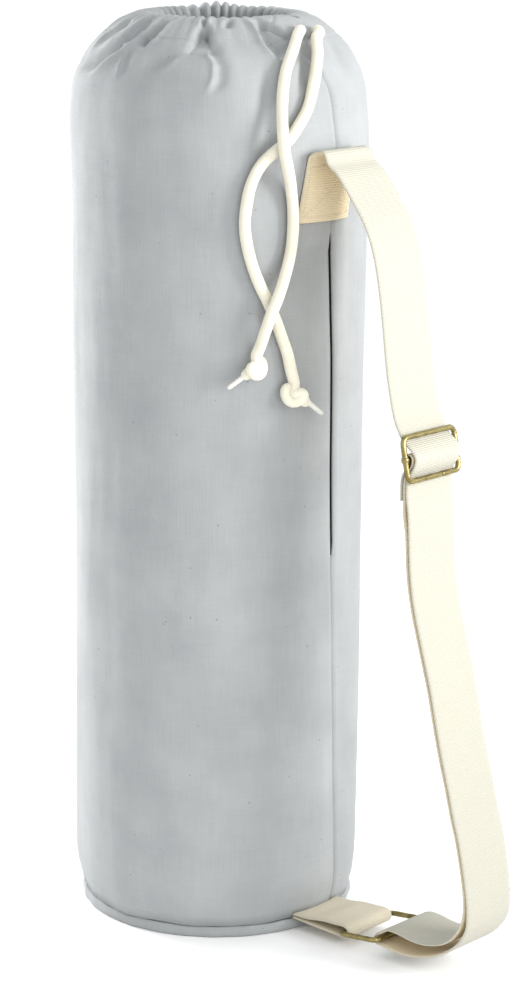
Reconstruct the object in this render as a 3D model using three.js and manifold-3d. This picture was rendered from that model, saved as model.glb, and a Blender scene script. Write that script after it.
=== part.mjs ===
// Yoga mat bag: a canvas tube with a gathered mouth, a drawcord and a webbing carry strap.
// Millimetres, +Z up. The origin is the centre of the base, +X points to the side seam and the strap.

import * as THREE from "three";
import { mergeVertices } from "three/addons/utils/BufferGeometryUtils.js";
import Module from "manifold-3d";

const wasm = await Module();
wasm.setup();

// Canvas body
const BAG_DIAMETER = 210;
const BAG_HEIGHT = 656;
const DOME_HEIGHT = 64;
const CANVAS_WALL = 2;
const SEAM_GAP = 0.3;

// Base panel
const BASE_BAND_HEIGHT = 8.2;
const BASE_FLOOR = 2.2;
const BASE_BAND_WALL = 3;
const BASE_BAND_OVERHANG = 1;

// Mouth and casing
const MOUTH_RING_DIAMETER = 108;
const RUFFLE_DEPTH = 1.8;
const RUFFLE_COUNT = 26;
const FLAT_FROM = -24;
const FLAT_TO = 46;
const FLAT_COLUMNS = 10;

// Drawcord
const CORD_DIAMETER = 8;
const EYELET_WIDTH = 10.8;
const EYELET_LENGTH = 12.8;
const TIP_DIAMETER = 3.8;
const TIP_LENGTH = 15;
const KNOT_WIDTH = 19;

// Webbing
const WEBBING_WIDTH = 49;
const WEBBING_THICKNESS = 1.8;
const STRAP_REACH = 153;
const SEWN_PLY_HEIGHT = 40;
const STRAP_TOP = 562;

// Brass wire
const WIRE_DIAMETER = 3.9;
const BAR_DIAMETER = 3.4;
const CURL_WALL = 0.55;
const FRAME_WIDTH = 59.1;
const SLIDER_HEIGHT = 34;
const RING_DEPTH = 37;
const WIRE_CORNER = 5;
const RING_OFFSET = 42;
const RING_HEIGHT = 12;

// Side slit and buttonhole
const SLIT_WIDTH = 2;
const SLIT_BOTTOM = 271;
const SLIT_TOP = 510;
const BUTTONHOLE_LENGTH = 11;
const BUTTONHOLE_WIDTH = 3.6;

const BAG_RADIUS = BAG_DIAMETER / 2;
const RING_RADIUS = MOUTH_RING_DIAMETER / 2;
const CORD_RADIUS = CORD_DIAMETER / 2;
const SHOULDER = BAG_HEIGHT - DOME_HEIGHT;
const CASING_HEIGHT = BAG_HEIGHT - CORD_DIAMETER;
const BODY_BOTTOM = BASE_BAND_HEIGHT + SEAM_GAP;
const PLY_PITCH = WEBBING_THICKNESS + SEAM_GAP;
const HALF_TURN = 180;

const radians = (degrees) => (degrees * Math.PI) / HALF_TURN;
const lerp = (from, to, share) => from + (to - from) * share;
const clamp = (value) => Math.min(Math.max(value, 0), 1);
const smooth = (value) => clamp(value) ** 2 * (3 - 2 * clamp(value));

const MATERIALS = {
  canvas: { color: 0xc3c6c9, roughness: 0.9, metalness: 0 },
  webbing: { color: 0xf4f1de, roughness: 0.88, metalness: 0 },
  cord: { color: 0xf1ecd6, roughness: 0.85, metalness: 0 },
  tip: { color: 0xe9e6da, roughness: 0.45, metalness: 0 },
  brass: { color: 0x6f6436, roughness: 0.38, metalness: 1 },
};

const bag = new THREE.Group();

function place(name, geometry, material) {
  const mesh = new THREE.Mesh(geometry, new THREE.MeshStandardMaterial(MATERIALS[material]));
  mesh.name = name;
  bag.add(mesh);
  return mesh;
}

function geometryFrom(positions, triangles) {
  const geometry = new THREE.BufferGeometry();
  geometry.setAttribute("position", new THREE.Float32BufferAttribute(positions.flat(), 3));
  geometry.setIndex(triangles.flat());
  geometry.computeVertexNormals();
  return geometry;
}

// Triangles of a flat end, a strip between the two halves of a section.
function endTriangles(count) {
  const triangles = [];
  let [low, high] = [0, count - 1];
  while (high - low >= 2) {
    triangles.push([low, low + 1, high]);
    low += 1;
    if (high - low < 2) break;
    triangles.push([low, high - 1, high]);
    high -= 1;
  }
  return triangles;
}

// Joins rings of points, each ring the same closed section, into one skin.
// A wrapped skin closes on its first ring, an open one gets a flat end at each side.
function skin(rings, wrapped) {
  const sides = rings[0].length;
  const triangles = [];
  const last = wrapped ? rings.length : rings.length - 1;
  for (let ring = 0; ring < last; ring++) {
    const next = (ring + 1) % rings.length;
    for (let side = 0; side < sides; side++) {
      const beside = (side + 1) % sides;
      const [a, b] = [ring * sides + side, ring * sides + beside];
      const [c, d] = [next * sides + beside, next * sides + side];
      triangles.push([a, c, b], [a, d, c]);
    }
  }
  if (!wrapped) {
    const end = (rings.length - 1) * sides;
    for (const [a, b, c] of endTriangles(sides)) {
      triangles.push([a, b, c], [end + a, end + c, end + b]);
    }
  }
  return geometryFrom(rings.flat(), triangles);
}

function solidFrom(geometry) {
  const bare = geometry.clone();
  bare.deleteAttribute("normal");
  bare.deleteAttribute("uv");
  const merged = mergeVertices(bare, 1e-4);
  const mesh = new wasm.Mesh({
    numProp: 3,
    vertProperties: new Float32Array(merged.attributes.position.array),
    triVerts: new Uint32Array(merged.index.array),
  });
  return new wasm.Manifold(mesh);
}

function geometryOf(solid) {
  const mesh = solid.getMesh();
  const geometry = new THREE.BufferGeometry();
  geometry.setAttribute("position", new THREE.BufferAttribute(mesh.vertProperties, 3));
  geometry.setIndex(new THREE.BufferAttribute(mesh.triVerts, 1));
  geometry.computeVertexNormals();
  return geometry;
}

// Outer skin of the cylinder and the gathered shoulder, from the base to the casing's hem.
// rise: share of the straight wall's height, or of the dome's height; out: share of the bag's radius;
// ruffle: share of the ruffle depth.
const WALL_ROWS = [
  { rise: 0, out: 1 },
  { rise: 0.09, out: 1 },
  { rise: 0.24, out: 1 },
  { rise: 0.4, out: 1 },
  { rise: 0.56, out: 1 },
  { rise: 0.72, out: 1 },
  { rise: 0.86, out: 1 },
];
const DOME_ROWS = [
  { rise: 0, out: 1, ruffle: 0 },
  { rise: 0.19, out: 0.995, ruffle: 0 },
  { rise: 0.36, out: 0.966, ruffle: 0 },
  { rise: 0.55, out: 0.9, ruffle: 0 },
  { rise: 0.71, out: 0.815, ruffle: 0.15 },
  { rise: 0.85, out: 0.716, ruffle: 0.4 },
];

// The casing round the cord. out and up: shares of the cord's diameter, from the cord's centre line;
// lift: share of the casing's local rise; ruffle: share of the ruffle depth.
const CASING_ROWS = [
  { out: 1.55, up: 0.53, ruffle: 0.6, lift: 0.5 },
  { out: 0.55, up: 0.93, ruffle: 0.9, lift: 1 },
  { out: -0.22, up: 1.0, ruffle: 1, lift: 1 },
  { out: -0.76, up: 0.76, ruffle: 1, lift: 1 },
  { out: -1.0, up: 0.26, ruffle: 1, lift: 1 },
  { out: -0.97, up: -0.36, ruffle: 1, lift: 1 },
  { out: -0.7, up: -0.8, ruffle: 0.9, lift: 1 },
  { out: -0.1, up: -0.97, ruffle: 0.8, lift: 1 },
  { out: 0.7, up: -0.92, ruffle: 0.5, lift: 0.8 },
  { out: 1.6, up: -0.95, ruffle: 0.2, lift: 0.5 },
  { out: 2.6, up: -1.18, ruffle: 0, lift: 0.2 },
  { out: 3.25, up: -1.42, ruffle: 0, lift: 0 },
];
const CHANNEL_ROWS = [
  { out: 2.85, up: -0.66, ruffle: 0, lift: 0 },
  { out: 1.8, up: 0.05, ruffle: 0.2, lift: 0.4 },
  { out: 0.7, up: 0.55, ruffle: 0.5, lift: 1 },
  { out: -0.12, up: 0.72, ruffle: 0.5, lift: 1 },
  { out: -0.6, up: 0.5, ruffle: 0.5, lift: 1 },
  { out: -0.73, up: -0.08, ruffle: 0.4, lift: 1 },
  { out: -0.54, up: -0.55, ruffle: 0.4, lift: 1 },
  { out: 0.04, up: -0.72, ruffle: 0.4, lift: 1 },
  { out: 0.9, up: -0.66, ruffle: 0.3, lift: 0.8 },
  { out: 2, up: -0.76, ruffle: 0, lift: 0.3 },
];

// Folds of the shoulder. Each crease runs from the angle at its top to the angle at its foot.
// top and foot: shares of the slope from the casing to the shoulder (more than 1 runs down the wall);
// depth: share of the dome's height; width: share of the bag's radius.
const FOLDS = [
  { top: 0.12, foot: 0.9, topAngle: -57, footAngle: -54, depth: 0.125, width: 0.075 },
  { top: 0.08, foot: 0.85, topAngle: -84, footAngle: -106, depth: 0.07, width: 0.07 },
  { top: 0.1, foot: 0.95, topAngle: -101, footAngle: -113, depth: 0.07, width: 0.07 },
  { top: 0.15, foot: 1.1, topAngle: -121, footAngle: -128, depth: 0.055, width: 0.08 },
  { top: 0.05, foot: 0.8, topAngle: -33, footAngle: -20, depth: 0.07, width: 0.08 },
  { top: 0.05, foot: 0.4, topAngle: -43, footAngle: -41, depth: 0.04, width: 0.05 },
  { top: 0.2, foot: 0.6, topAngle: -74, footAngle: -71, depth: 0.03, width: 0.06 },
  { top: 0.1, foot: 0.9, topAngle: 62, footAngle: 58, depth: 0.05, width: 0.08 },
  { top: 0.1, foot: 0.8, topAngle: 86, footAngle: 90, depth: 0.06, width: 0.08 },
  { top: 0.1, foot: 1.0, topAngle: 112, footAngle: 110, depth: 0.075, width: 0.08 },
  { top: 0.1, foot: 0.8, topAngle: 139, footAngle: 143, depth: 0.06, width: 0.07 },
  { top: 0.1, foot: 0.95, topAngle: 166, footAngle: 163, depth: 0.07, width: 0.08 },
  { top: 0.1, foot: 0.85, topAngle: 193, footAngle: 197, depth: 0.06, width: 0.08 },
  { top: 0.1, foot: 0.95, topAngle: 216, footAngle: 214, depth: 0.07, width: 0.07 },
];

// Soft hollows (depth above 0) and swells (below 0) of the straight wall.
// height: share of the bag's height; depth, reach: shares of the radius; spread: degrees.
const DENTS = [
  { angle: -76, height: 0.65, depth: 0.014, spread: 20, reach: 0.6 },
  { angle: -52, height: 0.47, depth: 0.01, spread: 18, reach: 0.7 },
  { angle: -92, height: 0.28, depth: 0.012, spread: 22, reach: 0.7 },
  { angle: -38, height: 0.2, depth: 0.012, spread: 18, reach: 0.6 },
  { angle: -108, height: 0.55, depth: -0.008, spread: 16, reach: 0.8 },
  { angle: 70, height: 0.6, depth: 0.013, spread: 22, reach: 0.8 },
  { angle: 120, height: 0.35, depth: 0.014, spread: 24, reach: 0.9 },
  { angle: 165, height: 0.7, depth: 0.012, spread: 20, reach: 0.7 },
  { angle: 205, height: 0.45, depth: 0.013, spread: 22, reach: 0.8 },
];

// Local rises of the casing above the level ring. rise: share of the cord's diameter.
const CASING_RISES = [
  { angle: 136, rise: 0.5, spread: 13 },
  { angle: -138, rise: 0.3, spread: 11 },
  { angle: 70, rise: 0.18, spread: 16 },
  { angle: -8, rise: 0.15, spread: 14 },
];

const angleBetween = (a, b) => ((a - b + 3 * HALF_TURN) % (2 * HALF_TURN)) - HALF_TURN;

function columnAngles() {
  const columns = [];
  for (let flat = 0; flat < FLAT_COLUMNS; flat++) {
    columns.push({ angle: lerp(FLAT_FROM, FLAT_TO, flat / FLAT_COLUMNS), wave: 0 });
  }
  const gathered = 2 * HALF_TURN - (FLAT_TO - FLAT_FROM);
  for (let half = 0; half < 2 * RUFFLE_COUNT; half++) {
    const wave = half % 2 === 0 ? -1 : 1;
    columns.push({ angle: FLAT_TO + (gathered * half) / (2 * RUFFLE_COUNT), wave });
  }
  return columns;
}

// Shares of a crease over which it deepens below its top and fades out above its foot.
const FOLD_ONSET = 0.35;
const FOLD_FADE = 0.65;

// How far the canvas is pushed in at an angle and a share of the slope below the casing.
function foldDepth(angle, slope, radius) {
  let depth = 0;
  for (const fold of FOLDS) {
    const along = (slope - fold.top) / (fold.foot - fold.top);
    if (along <= 0 || along >= 1) continue;
    const crease = lerp(fold.topAngle, fold.footAngle, along);
    const across = (radians(angleBetween(angle, crease)) * radius) / (fold.width * BAG_RADIUS);
    const window = smooth(along / FOLD_ONSET) * smooth((1 - along) / FOLD_FADE);
    depth += fold.depth * DOME_HEIGHT * window * Math.exp(-across * across);
  }
  return depth;
}

function dentDepth(angle, height) {
  let depth = 0;
  for (const dent of DENTS) {
    const across = angleBetween(angle, dent.angle) / dent.spread;
    const along = (height - dent.height * BAG_HEIGHT) / (dent.reach * BAG_RADIUS);
    depth += dent.depth * BAG_RADIUS * Math.exp(-across * across - along * along);
  }
  return depth;
}

function casingRise(angle) {
  let rise = 0;
  for (const bump of CASING_RISES) {
    const across = angleBetween(angle, bump.angle) / bump.spread;
    rise += bump.rise * CORD_DIAMETER * Math.exp(-across * across);
  }
  return rise;
}

// Outward normals of a closed section that is listed with its inside on the left.
function sectionNormals(points) {
  return points.map((point, index) => {
    const before = points[(index + points.length - 1) % points.length];
    const after = points[(index + 1) % points.length];
    const [run, climb] = [after.r - before.r, after.z - before.z];
    const length = Math.hypot(run, climb);
    return { r: climb / length, z: -run / length };
  });
}

// One section of the canvas: up the outside, over the casing and back down the inside.
function bodySection() {
  const outside = WALL_ROWS.map((row) => ({
    r: row.out * BAG_RADIUS,
    z: lerp(BODY_BOTTOM, SHOULDER, row.rise),
    slope: 1 + (1 - row.rise) * (SHOULDER / DOME_HEIGHT),
    fold: 1,
    ruffle: 0,
    lift: 0,
    dent: row.rise > 0 ? 1 : 0,
  }));
  for (const row of DOME_ROWS) {
    outside.push({
      r: row.out * BAG_RADIUS,
      z: SHOULDER + row.rise * DOME_HEIGHT,
      slope: 1 - row.rise,
      fold: 1,
      ruffle: row.ruffle,
      lift: 0,
      dent: 1,
    });
  }
  const casing = CASING_ROWS.map((row) => ({
    r: RING_RADIUS + row.out * CORD_DIAMETER,
    z: CASING_HEIGHT + row.up * CORD_DIAMETER,
    slope: 0,
    fold: 0,
    ruffle: row.ruffle,
    lift: row.lift,
    dent: 0,
  }));
  const normals = sectionNormals([...outside, ...casing]);
  const inside = outside.slice(0, -1).map((point, index) => {
    const along = index === 0 ? { r: 1, z: 0 } : normals[index];
    return {
      ...point,
      r: point.r - along.r * CANVAS_WALL,
      z: point.z - along.z * CANVAS_WALL,
      fold: -1,
      dent: -point.dent,
      ruffle: -point.ruffle,
    };
  });
  return [...outside, ...casing, ...inside.reverse()];
}

function sweepSection(section) {
  const normals = sectionNormals(section);
  const rings = columnAngles().map(({ angle, wave }) =>
    section.map((point, index) => {
      const push = foldDepth(angle, point.slope, point.r) * point.fold;
      const dent = dentDepth(angle, point.z) * point.dent;
      const shift = point.ruffle * RUFFLE_DEPTH * wave - push - dent;
      const r = point.r + normals[index].r * shift;
      const z = point.z + normals[index].z * shift + point.lift * casingRise(angle);
      return [r * Math.cos(radians(angle)), r * Math.sin(radians(angle)), z];
    }),
  );
  return skin(rings, true);
}

function channelSection() {
  return CHANNEL_ROWS.map((row) => ({
    r: RING_RADIUS + row.out * CORD_DIAMETER,
    z: CASING_HEIGHT + row.up * CORD_DIAMETER,
    slope: 0,
    fold: 0,
    ruffle: row.ruffle,
    lift: row.lift,
    dent: 0,
  }));
}

// The two eyelets in the flat part of the casing. Each starts in the channel and leaves the skin,
// out and up: shares of the cord's diameter, from the cord's centre line.
const EYELETS = {
  left: { angle: -2.6, out: 2.1, up: -0.5 },
  right: { angle: 9.8, out: 2.3, up: -0.65 },
};
const EYELET_TILT = 45;

function roundTool(diameter, length, sides) {
  const tool = new THREE.CylinderGeometry(diameter / 2, diameter / 2, length, sides);
  tool.rotateX(Math.PI / 2);
  return tool;
}

function eyeletCutter({ angle, out, up }) {
  const tool = roundTool(EYELET_WIDTH, EYELET_WIDTH, 12);
  tool.scale(1, EYELET_LENGTH / EYELET_WIDTH, 1);
  tool.translate(0, 0, EYELET_WIDTH / 2);
  tool.rotateY(radians(EYELET_TILT));
  tool.translate(RING_RADIUS + out * CORD_DIAMETER, 0, CASING_HEIGHT + up * CORD_DIAMETER);
  tool.rotateZ(radians(angle));
  return solidFrom(tool);
}

// The buttonhole on top of the casing. out and up: shares of the cord's diameter; turn: its own slant.
const BUTTONHOLE = { angle: 8.5, turn: 41, out: 0.06, up: 0.9 };

function buttonholeCutter() {
  const tool = roundTool(1, CORD_DIAMETER, 10);
  tool.scale(BUTTONHOLE_LENGTH, BUTTONHOLE_WIDTH, 1);
  tool.rotateZ(radians(BUTTONHOLE.turn));
  const place = [BUTTONHOLE.out * CORD_DIAMETER, BUTTONHOLE.up * CORD_DIAMETER];
  tool.translate(RING_RADIUS + place[0], 0, CASING_HEIGHT + place[1]);
  tool.rotateZ(radians(BUTTONHOLE.angle));
  return solidFrom(tool);
}

// The slit leans a little across the seam's line. Degrees from +X.
const SLIT_ANGLES = { bottom: 3.35, top: -0.3 };

function slitCutter() {
  const rows = [
    { z: SLIT_BOTTOM, angle: SLIT_ANGLES.bottom },
    { z: SLIT_TOP, angle: SLIT_ANGLES.top },
  ];
  const reach = 3 * CANVAS_WALL;
  const rings = rows.map(({ z, angle }) => {
    const side = BAG_RADIUS * Math.sin(radians(angle));
    return [
      [BAG_RADIUS - reach, side - SLIT_WIDTH / 2, z],
      [BAG_RADIUS - reach, side + SLIT_WIDTH / 2, z],
      [BAG_RADIUS + reach, side + SLIT_WIDTH / 2, z],
      [BAG_RADIUS + reach, side - SLIT_WIDTH / 2, z],
    ];
  });
  return solidFrom(skin(rings, false));
}

function bodyGeometry() {
  const cutters = [
    solidFrom(sweepSection(channelSection())),
    eyeletCutter(EYELETS.left),
    eyeletCutter(EYELETS.right),
    buttonholeCutter(),
    slitCutter(),
  ];
  let solid = solidFrom(sweepSection(bodySection()));
  for (const cutter of cutters) solid = solid.subtract(cutter);
  return geometryOf(solid);
}

// Shallow canvas dish: a flat floor and a rim that shows as the band under the body's seam.
function baseGeometry() {
  const outer = BAG_RADIUS + BASE_BAND_OVERHANG;
  const inner = outer - BASE_BAND_WALL;
  const profile = [
    [0, 0],
    [outer - BASE_FLOOR, 0],
    [outer - BASE_BAND_OVERHANG / 2, BASE_FLOOR * 0.4],
    [outer, BASE_FLOOR],
    [outer, BASE_BAND_HEIGHT - BASE_BAND_OVERHANG],
    [outer - BASE_BAND_OVERHANG, BASE_BAND_HEIGHT],
    [inner, BASE_BAND_HEIGHT],
    [inner, BASE_FLOOR],
    [0, BASE_FLOOR],
  ].map(([r, z]) => new THREE.Vector2(r, z));
  const dish = new THREE.LatheGeometry(profile, 44);
  dish.rotateX(Math.PI / 2);
  return geometryOf(solidFrom(dish));
}

// Webbing seen edge on. Rows are places of the middle ply line: out, up in millimetres,
// bow: how much the ply follows the round wall of the bag.
const WEBBING_COLUMNS = [-1, -0.5, 0, 0.5, 1];

function bowDepth(side) {
  return BAG_RADIUS - Math.sqrt(BAG_RADIUS ** 2 - side ** 2);
}

function webbingRings(rows) {
  return rows.map((row, index) => {
    const before = rows[Math.max(index - 1, 0)];
    const after = rows[Math.min(index + 1, rows.length - 1)];
    const [run, climb] = [after.out - before.out, after.up - before.up];
    const length = Math.hypot(run, climb);
    const half = WEBBING_THICKNESS / 2;
    const normal = [(-climb / length) * half, (run / length) * half];
    const edge = (share, face) => {
      const side = (share * WEBBING_WIDTH) / 2;
      const out = row.out - (row.bow ?? 0) * bowDepth(side);
      return [out + face * normal[0], side, row.up + face * normal[1]];
    };
    const front = WEBBING_COLUMNS.map((share) => edge(share, 1));
    const back = [...WEBBING_COLUMNS].reverse().map((share) => edge(share, -1));
    return [...front, ...back];
  });
}

const webbingGeometry = (rows) => skin(webbingRings(rows), false);

// Free parts of the strap, as shares of the strap's reach from the wall and of the bag's height.
const UPPER_PLY = [
  [0.11, 0.855],
  [0.162, 0.846],
  [0.214, 0.832],
  [0.268, 0.816],
  [0.322, 0.799],
  [0.365, 0.779],
  [0.395, 0.757],
  [0.421, 0.728],
  [0.444, 0.693],
  [0.466, 0.655],
  [0.486, 0.63],
];
const OUTER_PLY = [
  [0.607, 0.506],
  [0.616, 0.479],
  [0.623, 0.451],
  [0.636, 0.425],
  [0.66, 0.398],
  [0.692, 0.372],
  [0.725, 0.346],
  [0.758, 0.32],
  [0.786, 0.293],
  [0.813, 0.267],
  [0.843, 0.241],
  [0.876, 0.215],
  [0.908, 0.187],
  [0.941, 0.162],
  [0.967, 0.136],
  [0.99, 0.108],
  [1, 0.087],
  [0.997, 0.07],
  [0.97, 0.0555],
  [0.922, 0.0425],
  [0.858, 0.0315],
  [0.776, 0.0228],
  [0.686, 0.0174],
  [0.6, 0.0158],
];
const RETURN_PLY = [
  [0.536, 0.0374],
  [0.595, 0.0378],
  [0.68, 0.0352],
  [0.765, 0.0358],
  [0.842, 0.041],
  [0.903, 0.05],
  [0.946, 0.0625],
  [0.972, 0.077],
  [0.979, 0.09],
];
const INNER_PLY_COUNT = 15;
const SLIDER_AT = [0.6046, 0.5614];
const SLIDER_LEAN = 11.5;

const strapPlace = ([out, up]) => ({ out: BAG_RADIUS + out * STRAP_REACH, up: up * BAG_HEIGHT });

const slider = strapPlace(SLIDER_AT);
const barClearance = (WIRE_DIAMETER + WEBBING_THICKNESS) / 2 + 3.5 * SEAM_GAP;
const loopRadius = (BAR_DIAMETER + WEBBING_THICKNESS) / 2 + 2 * SEAM_GAP;
const barPitch = (SLIDER_HEIGHT - WIRE_DIAMETER) / 2;

// From the slider's own axes, along its height and out of its face, to the bag's.
function sliderPlace(along, out) {
  const lean = radians(SLIDER_LEAN);
  return {
    out: slider.out + out * Math.cos(lean) - along * Math.sin(lean),
    up: slider.up + out * Math.sin(lean) + along * Math.cos(lean),
  };
}

// along: shares of the pitch from the centre bar to the outer bars; out: shares of the bar clearance.
const THREADING = {
  over: [
    [1.75, -1.92],
    [1.3, -1.4],
    [1.0, -1.0],
    [0.73, -0.42],
    [0.4, 0.78],
    [0, 1.62],
    [-0.4, 0.9],
    [-0.73, -0.36],
    [-1.0, -1.0],
    [-1.3, -1.35],
    [-1.8, -1.65],
  ],
  under: [
    [-2.45, -2.8],
    [-1.9, -2.4],
    [-1.4, -2.05],
    [-1.02, -1.72],
    [-0.73, -1.18],
    [-0.4, 0.04],
    [-0.22, 0.6],
  ],
  tail: [
    [-0.36, -0.85],
    [-0.72, -1.9],
    [-1.02, -2.4],
    [-1.4, -2.72],
    [-1.85, -3.05],
  ],
};
const threaded = (rows) => rows.map(([along, out]) => sliderPlace(along * barPitch, out * barClearance));

// Turns of the tail ply round the centre bar, from its front over the top to its back.
function barLoop() {
  const turns = [-4, 38, 80, 122, 164, 196];
  return turns.map((turn) => {
    const angle = radians(turn);
    return sliderPlace(loopRadius * Math.sin(angle), loopRadius * Math.cos(angle));
  });
}

function wrapRows(centre, radius, turns) {
  return turns.map((turn) => ({
    out: centre.out + radius * Math.cos(radians(turn)),
    up: centre.up + radius * Math.sin(radians(turn)),
  }));
}

const ringPitch = RING_DEPTH - WIRE_DIAMETER;
const nearBar = { out: BAG_RADIUS + RING_OFFSET, up: RING_HEIGHT };
const farBar = { out: nearBar.out + ringPitch, up: RING_HEIGHT + WIRE_DIAMETER };
const wrapRadius = (WIRE_DIAMETER + WEBBING_THICKNESS) / 2 + 4.5 * SEAM_GAP;

// The ply that comes back from the ring runs just inside the outer one.
function innerPlyRows() {
  const rows = [];
  for (let step = 0; step < INNER_PLY_COUNT; step++) {
    const [out, up] = OUTER_PLY[INNER_PLY_COUNT - step];
    const spread = lerp(1.32, 1.85, step / INNER_PLY_COUNT) * PLY_PITCH;
    const outer = strapPlace([out, up]);
    rows.push({ out: outer.out - spread, up: outer.up });
  }
  return rows;
}

function strapRows() {
  const wall = BAG_RADIUS + WEBBING_THICKNESS / 2 + 2 * SEAM_GAP;
  const sewn = [0, 0.35, 0.7, 1].map((share) => ({
    out: wall,
    up: STRAP_TOP - SEWN_PLY_HEIGHT * (1 - share),
    bow: 1,
  }));
  const fold = [
    [0.2, 1.5, 0.8],
    [1.2, 2.83, 0.5],
    [3.2, 3.72, 0.25],
    [6.4, 3.5, 0.05],
  ].map(([out, up, bow]) => ({
    out: wall + out * WEBBING_THICKNESS,
    up: STRAP_TOP + up * WEBBING_THICKNESS,
    bow,
  }));
  return [
    ...sewn,
    ...fold,
    ...UPPER_PLY.map(strapPlace),
    ...threaded(THREADING.over),
    ...OUTER_PLY.map(strapPlace),
    ...wrapRows(farBar, wrapRadius, [-75, -112, -150, -188, -225, -262]),
    ...RETURN_PLY.map(strapPlace),
    ...innerPlyRows(),
    ...threaded(THREADING.under),
    ...barLoop(),
    ...threaded(THREADING.tail),
  ];
}

// Doubled tab that leaves the base seam, goes round the ring's near bar and comes back.
// out: share of the way from the wall to the bar; rise: shares of a ply from the lower ply's seat,
// or from the top of the wrap.
const TAB_LOWER = [
  { out: 0, rise: 0, bow: 1 },
  { out: 0.2, rise: -0.28, bow: 0.5 },
  { out: 0.5, rise: -0.61, bow: 0 },
  { out: 0.8, rise: -0.78, bow: 0 },
];
const TAB_WRAP_TOP = [
  { out: 0.8, rise: -0.22, bow: 0 },
  { out: 0.5, rise: -0.67, bow: 0 },
];
const TAB_UPPER = [
  { out: 0.2, rise: 1.67, bow: 0.5 },
  { out: 0, rise: 1.28, bow: 1 },
];

function tabRows() {
  const start = BAG_RADIUS + 1.7 * SEAM_GAP;
  const seat = BASE_BAND_HEIGHT + 2 * SEAM_GAP + WEBBING_THICKNESS / 2;
  const rowsFrom = (table, level) =>
    table.map(({ out, rise, bow }) => ({
      out: lerp(start, nearBar.out, out),
      up: level + rise * WEBBING_THICKNESS,
      bow,
    }));
  return [
    ...rowsFrom(TAB_LOWER, seat),
    ...wrapRows(nearBar, wrapRadius, [-100, -62, -24, 14, 52, 90]),
    ...rowsFrom(TAB_WRAP_TOP, nearBar.up + wrapRadius),
    ...rowsFrom(TAB_UPPER, seat),
  ];
}

// Closed wire rectangle through two bars, seen edge on: each end is { out, up }.
function wireFrame(first, second) {
  const side = (FRAME_WIDTH - WIRE_DIAMETER) / 2;
  const axis = new THREE.Vector3(second.out - first.out, 0, second.up - first.up);
  const depth = axis.length();
  axis.normalize();
  const along = new THREE.Vector3(0, 1, 0);
  const face = new THREE.Vector3().crossVectors(axis, along);
  const origin = new THREE.Vector3(first.out, 0, first.up);
  const corners = [
    { at: WIRE_CORNER, side: WIRE_CORNER - side, from: 180 },
    { at: WIRE_CORNER, side: side - WIRE_CORNER, from: 90 },
    { at: depth - WIRE_CORNER, side: side - WIRE_CORNER, from: 0 },
    { at: depth - WIRE_CORNER, side: WIRE_CORNER - side, from: -90 },
  ];
  const rings = [];
  for (const corner of corners) {
    for (const step of [90, 60, 30, 0]) {
      const turn = radians(corner.from + step);
      const centre = new THREE.Vector2(corner.at, corner.side);
      const spoke = new THREE.Vector2(Math.cos(turn), Math.sin(turn));
      rings.push(wireRing(origin, axis, along, face, centre.addScaledVector(spoke, WIRE_CORNER), spoke));
    }
  }
  return skin(rings, true);
}

const WIRE_SIDES = 8;

function wireRing(origin, axis, along, face, at, spoke) {
  const points = [];
  for (let step = 0; step < WIRE_SIDES; step++) {
    const turn = (-2 * Math.PI * step) / WIRE_SIDES;
    const out = (Math.cos(turn) * WIRE_DIAMETER) / 2;
    const lift = (Math.sin(turn) * WIRE_DIAMETER) / 2;
    const point = origin
      .clone()
      .addScaledVector(axis, at.x + spoke.x * out)
      .addScaledVector(along, at.y + spoke.y * out)
      .addScaledVector(face, lift);
    points.push(point.toArray());
  }
  return points;
}

// The centre bar's flattened ends curl round the slider's side wires.
function sliderBarGeometry() {
  const side = (FRAME_WIDTH - WIRE_DIAMETER) / 2;
  const inner = WIRE_DIAMETER / 2 + 1.4 * SEAM_GAP;
  const bar = roundTool(BAR_DIAMETER, 2 * (side - inner), 10);
  bar.rotateX(Math.PI / 2);
  const half = BAR_DIAMETER / 2;
  const section = [
    [inner, -half],
    [inner + CURL_WALL, -half],
    [inner + CURL_WALL, half],
    [inner, half],
    [inner, -half],
  ];
  let solid = solidFrom(bar);
  for (const hand of [-1, 1]) {
    const curl = new THREE.LatheGeometry(section.map(([r, z]) => new THREE.Vector2(r, z)), 12);
    curl.rotateX(Math.PI / 2);
    curl.translate(0, hand * side, 0);
    solid = solid.add(solidFrom(curl));
  }
  const geometry = geometryOf(solid);
  geometry.rotateY(-radians(SLIDER_LEAN));
  geometry.translate(slider.out, 0, slider.up);
  return geometry;
}

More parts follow.
